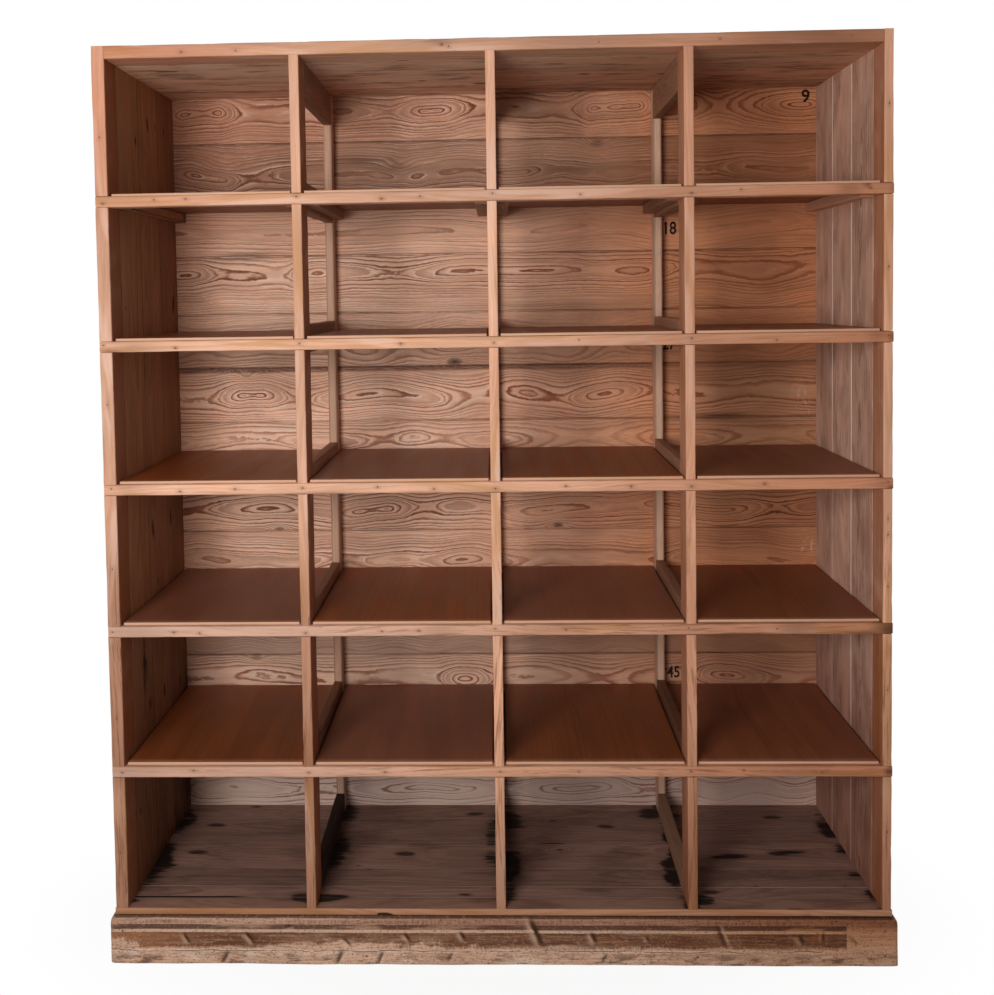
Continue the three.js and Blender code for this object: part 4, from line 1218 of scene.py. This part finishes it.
# Dark wear on the rails' faces: place along, share of the height, reach along and up, strength
RAIL_WEAR = {"top_rail": ((0.20, 0.5, 0.17, 0.06, 0.36), (0.72, 0.5, 0.17, 0.06, 0.58),
                          (-0.11, 0.8, 0.03, 0.004, 0.5)),
             "shelf_rail_1": ((0.868, 0.5, 0.008, 0.014, 0.4), (0.815, 0.85, 0.009, 0.008, 0.8),
                              (-0.20, 0.9, 0.05, 0.003, 0.4), (0.75, 0.5, 0.35, 0.05, 0.16),
                              (0.775, 0.5, 0.035, 0.03, 0.5)),
             "shelf_rail_2": ((0.872, 0.4, 0.018, 0.02, 0.7), (0.835, 0.5, 0.03, 0.03, 0.45),
                              (-0.845, 0.15, 0.03, 0.004, 0.7), (-0.80, 0.4, 0.06, 0.03, 0.3),
                              (0.60, 0.5, 0.05, 0.005, 0.4), (0.55, 0.5, 0.42, 0.05, 0.22)),
             "shelf_rail_3": ((0.871, 0.1, 0.018, 0.009, 0.9), (0.855, 0.6, 0.03, 0.03, 0.35),
                              (-0.35, 0.1, 0.08, 0.003, 0.4), (-0.82, 0.5, 0.05, 0.03, 0.3)),
             "shelf_rail_4": ((0.868, 0.4, 0.036, 0.03, 1.0), (0.82, 0.1, 0.05, 0.005, 0.7),
                              (0.55, 0.1, 0.10, 0.003, 0.5), (0.15, 0.95, 0.08, 0.003, 0.5),
                              (0.66, 0.5, 0.06, 0.03, 0.52), (0.40, 0.5, 0.5, 0.05, 0.25),
                              (-0.12, 0.5, 0.05, 0.03, 0.28), (-0.80, 0.5, 0.07, 0.03, 0.28)),
             "shelf_rail_5": ((0.866, 0.5, 0.014, 0.010, 1.0), (0.866, 1.0, 0.006, 0.006, 0.8),
                              (0.73, 0.6, 0.012, 0.004, 0.6), (0.70, 0.5, 0.007, 0.004, 0.6),
                              (0.60, 0.5, 0.45, 0.05, 0.25), (-0.82, 0.5, 0.06, 0.05, 0.2))}
END_STATIONS = np.array([0.002, 0.005, 0.008, 0.012, 0.016, 0.021])
for number, (name, places) in enumerate(RAIL_NAILS.items()):
    low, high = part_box(name)
    draw = np.random.default_rng(870 + number)
    heights = (low.z + high.z) / 2 + draw.uniform(-0.004, 0.004, len(places))
    nails = [(x, front_y, z) for x, z in zip(places, heights)]
    nail_places += nails
    stains = [(nail, NAIL_STAIN, share) for nail, share in zip(nails, draw.uniform(0.35, 0.8, len(nails)))]
    for x, share, along, up, strength in RAIL_WEAR[name]:
        stains.append(((x, front_y, low.z + share * (high.z - low.z)), (along, 0.03, up), strength))
    near_nails = [np.array(places) + shift for shift in (-0.006, -0.003, 0.0, 0.003, 0.006)]
    stations = np.concatenate(near_nails + [low.x + END_STATIONS, high.x - END_STATIONS])
    stick(f"pine_{name}", name, 0, RAIL_ARRIS, 840 + number, frame_material, "front_frame",
          tone=RAIL_TONES[name], stations=stations, mark=lambda points: spots(points, stains))

# Nail heads: cut iron brads, rusted dark, driven through the rails into the posts and left flush.
# They are gathered into one piece in the frame and one in the plinth.
iron, tree, shader = new_finish("rusted_iron")
rust = noise(wire(tree, "TexCoord").outputs["Object"], (900.0, 900.0, 900.0), 2.0)
feed(tint(rust, linear("#4c3020"), linear("#805538")), shader.inputs["Base Color"])
feed(fade(rust, 0.3, 0.7, 0.5, 0.85), shader.inputs["Roughness"])
shader.inputs["Metallic"].default_value = 0.3


def nail_heads(name, places, radius):
    """Nail heads in a face that looks to the front. Each is a low dome on eight sides: rings of
    (radius share, depth into the wood) round the nail's middle, closed by a tip and a flat end."""
    rings = ((1.0, 0.0012), (1.0, -0.0003), (0.72, -0.0006))
    angles = np.arange(8) * math.pi / 4
    tip = (0.0, -0.0007, 0.0)
    one = np.array([(radius * share * math.cos(a), depth, radius * share * math.sin(a))
                    for share, depth in rings for a in angles] + [tip])
    around = [(i, (i + 1) % 8) for i in range(8)]
    faces = [list(range(8))]
    faces += [[r * 8 + j, r * 8 + i, r * 8 + 8 + i, r * 8 + 8 + j] for r in (0, 1) for i, j in around]
    faces += [[16 + j, 16 + i, 24] for i, j in around]
    points = np.asarray(places)[:, None] + one[None]
    all_faces = [[v + n * len(one) for v in face] for n in range(len(places)) for face in faces]
    mesh = bpy.data.meshes.new(name)
    mesh.from_pydata(points.reshape(-1, 3).tolist(), [], all_faces)
    mesh.materials.append(iron)
    made = stand(name, mesh)
    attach(made, "root")


nail_heads("nails_front_frame", nail_places, 0.0016)
plinth_face = front_y - projection
PLINTH_NAILS = ((0.852, 0.0825), (0.852, 0.0256), (-0.852, 0.078), (-0.30, 0.021), (0.44, 0.022))
nail_heads("nails_plinth", [(x, plinth_face, z) for x, z in PLINTH_NAILS], 0.0024)


# Shelf panels: one thin veneered board in each cell, grain from front to back, varnished red-brown
# on top with a raw pale edge at the front. They lie loose on the rail and the ledgers.
PANEL_ARRIS = 0.0008
RAW_DEPTH = 0.0012
PANEL_TONES = ((0.6, 0.5, 0.5, 0.5), (0.6, 0.5, 0.5, 0.5), (0.7, 0.75, 0.65, 0.35),
               (0.4, 0.55, 0.45, 0.25), (0.35, 0.25, 0.25, 0.35))
PANEL_WARMTH = ((0.6, 0.6, 0.6, 0.6), (0.6, 0.6, 0.6, 0.6), (1.0, 0.4, 1.0, 0.5), (0.3, 1.0, 0.5, 0.7),
                (0.8, 0.3, 0.75, 0.6))
panel_pine = Pine("panel_veneer", "#935b43", "#653823", "#4a2818", ring=0.012, waver=0.012, knots=0.0,
                  contrast=0.65, spread=0.35, fibre=0.05)
panel_pine.wash("#ffda90", fade(panel_pine.bold, 0.3, 1.0), mode="MULTIPLY")
panel_pine.wash("#e2b798", panel_pine.mark, 0.9)
panel_pine.rough = fade(panel_pine.wood["Cloud"], 0.2, 0.8, 0.38, 0.52)
panel_material = panel_pine.done(relief=0.0001, specular=0.3)
FLAMED_PANELS = ((4, 4), (5, 3), (5, 4))
for row in range(1, 6):
    for column in range(1, 5):
        node = f"shelf_panel_{row}_{column}"
        low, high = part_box(node)
        sheet = Timber()

        def raw_edge(points, front=low.y):
            """One on the panel's front edge, and nothing a little way behind it."""
            return np.clip(1 - (points[..., 1] - front) / RAW_DEPTH, 0, 1)

        seed = 900 + row * 10 + column
        heart = heart_line(seed, depth=0.12, roam=0.003, side=0.05, sway=0.004)
        if (row, column) in FLAMED_PANELS:
            heart = heart_line(seed, depth=0.035, roam=0.012, sway=0.025)
        bar(sheet, 1, (low.z, low.x), (high.z, high.x), (low.y, high.y), PANEL_ARRIS, steps=(0.02, 0.02),
            seed=seed, uneven=0.0001, ease=PANEL_ARRIS, mark=raw_edge, heart=heart,
            tone=PANEL_TONES[row - 1][column - 1], bold=PANEL_WARMTH[row - 1][column - 1])
        sheet.piece(f"panel_{row}_{column}", panel_material, [node])


# Stage: a plain pale floor that goes over into white away from the object, soft light from the front
# left, and the camera at the photograph's place.
FLOOR_REACH = 14.0
WHITE_FROM = 0.5
WHITE_TO = 1.1
WHITE_LEAST = 0.92
WHITE_SHAPE = (0.85, 1.6, 0.0)
mesh = bpy.data.meshes.new("studio_floor")
mesh.from_pydata([(-FLOOR_REACH, -FLOOR_REACH, 0), (FLOOR_REACH, -FLOOR_REACH, 0),
                  (FLOOR_REACH, FLOOR_REACH, 0), (-FLOOR_REACH, FLOOR_REACH, 0)], [], [[0, 1, 2, 3]])
studio_floor = stand("studio_floor", mesh)
material, tree, shader = new_finish("studio_floor")
shader.inputs["Base Color"].default_value = linear("#d2d0cd")
shader.inputs["Roughness"].default_value = 0.9


def seen(tree):
    """One for rays from the camera, and for those by which metal and glass show what lies behind."""
    ray = wire(tree, "LightPath").outputs
    mirrored = calc("MAXIMUM", ray["Is Glossy Ray"], ray["Is Transmission Ray"])
    return calc("MAXIMUM", ray["Is Camera Ray"], mirrored)


place = wire(tree, "TexCoord").outputs["Object"]
distance = wire(tree, "VectorMath", {0: stretched(place, WHITE_SHAPE)}, operation="LENGTH").outputs[1]
cover = times(seen(tree), fade(distance, WHITE_FROM, WHITE_TO, WHITE_LEAST, 1.0))
white = wire(tree, "Emission", {"Color": (1, 1, 1, 1), "Strength": 1.0}).outputs[0]
mixed = wire(tree, "MixShader", {0: cover, 1: shader.outputs[0], 2: white}).outputs[0]
feed(mixed, tree.nodes["Material Output"].inputs[0])
mesh.materials.append(material)

FILL = 0.22
world = bpy.data.worlds.new("studio")
bpy.context.scene.world = world
world.use_nodes = True
tree = world.node_tree
tree.nodes.clear()
fill = wire(tree, "Background", {"Color": linear("#f6f4f2"), "Strength": FILL})
white = wire(tree, "Background", {"Color": (1, 1, 1, 1), "Strength": 1.0})
sky = wire(tree, "MixShader", {0: seen(tree), 1: fill.outputs[0], 2: white.outputs[0]})
feed(sky.outputs[0], wire(tree, "OutputWorld").inputs[0])


def lamp(name, place, aim, size, power, colour):
    """A square soft lamp that looks from its place towards its aim."""
    data = bpy.data.lights.new(name, "AREA")
    data.shape = "SQUARE"
    data.size = size
    data.energy = power
    data.color = linear(colour)[:3]
    made = stand(name, data)
    made.location = place
    made.rotation_euler = (Vector(place) - Vector(aim)).to_track_quat("Z", "Y").to_euler()


lamp("soft_key", (-1.0, -2.95, 1.6), (-0.2, 0.0, 1.25), 1.1, 57, "#fff8f2")
lamp("soft_back", (1.2, 3.4, 1.9), (0.0, 0.0, 1.0), 1.6, 55, "#fff8f2")

CAMERA_PLACE = (0.01229, -2.35655 + front_y, 1.4951)
CAMERA_RIGHT = (0.999417, 0.030770, -0.014798)
CAMERA_UP = (0.013395, 0.045329, 0.998882)
CAMERA_BACK = (0.031407, -0.998498, 0.044890)
camera = stand("camera", bpy.data.cameras.new("camera"))
turned = Matrix((CAMERA_RIGHT, CAMERA_UP, CAMERA_BACK)).transposed().to_4x4()
camera.matrix_world = Matrix.Translation(CAMERA_PLACE) @ turned
camera.data.sensor_width = 36.0
camera.data.lens = 38.903
camera.data.shift_x = 0.03357
camera.data.shift_y = -0.15195
bpy.context.scene.camera = camera
bpy.context.scene.view_settings.view_transform = "Standard"
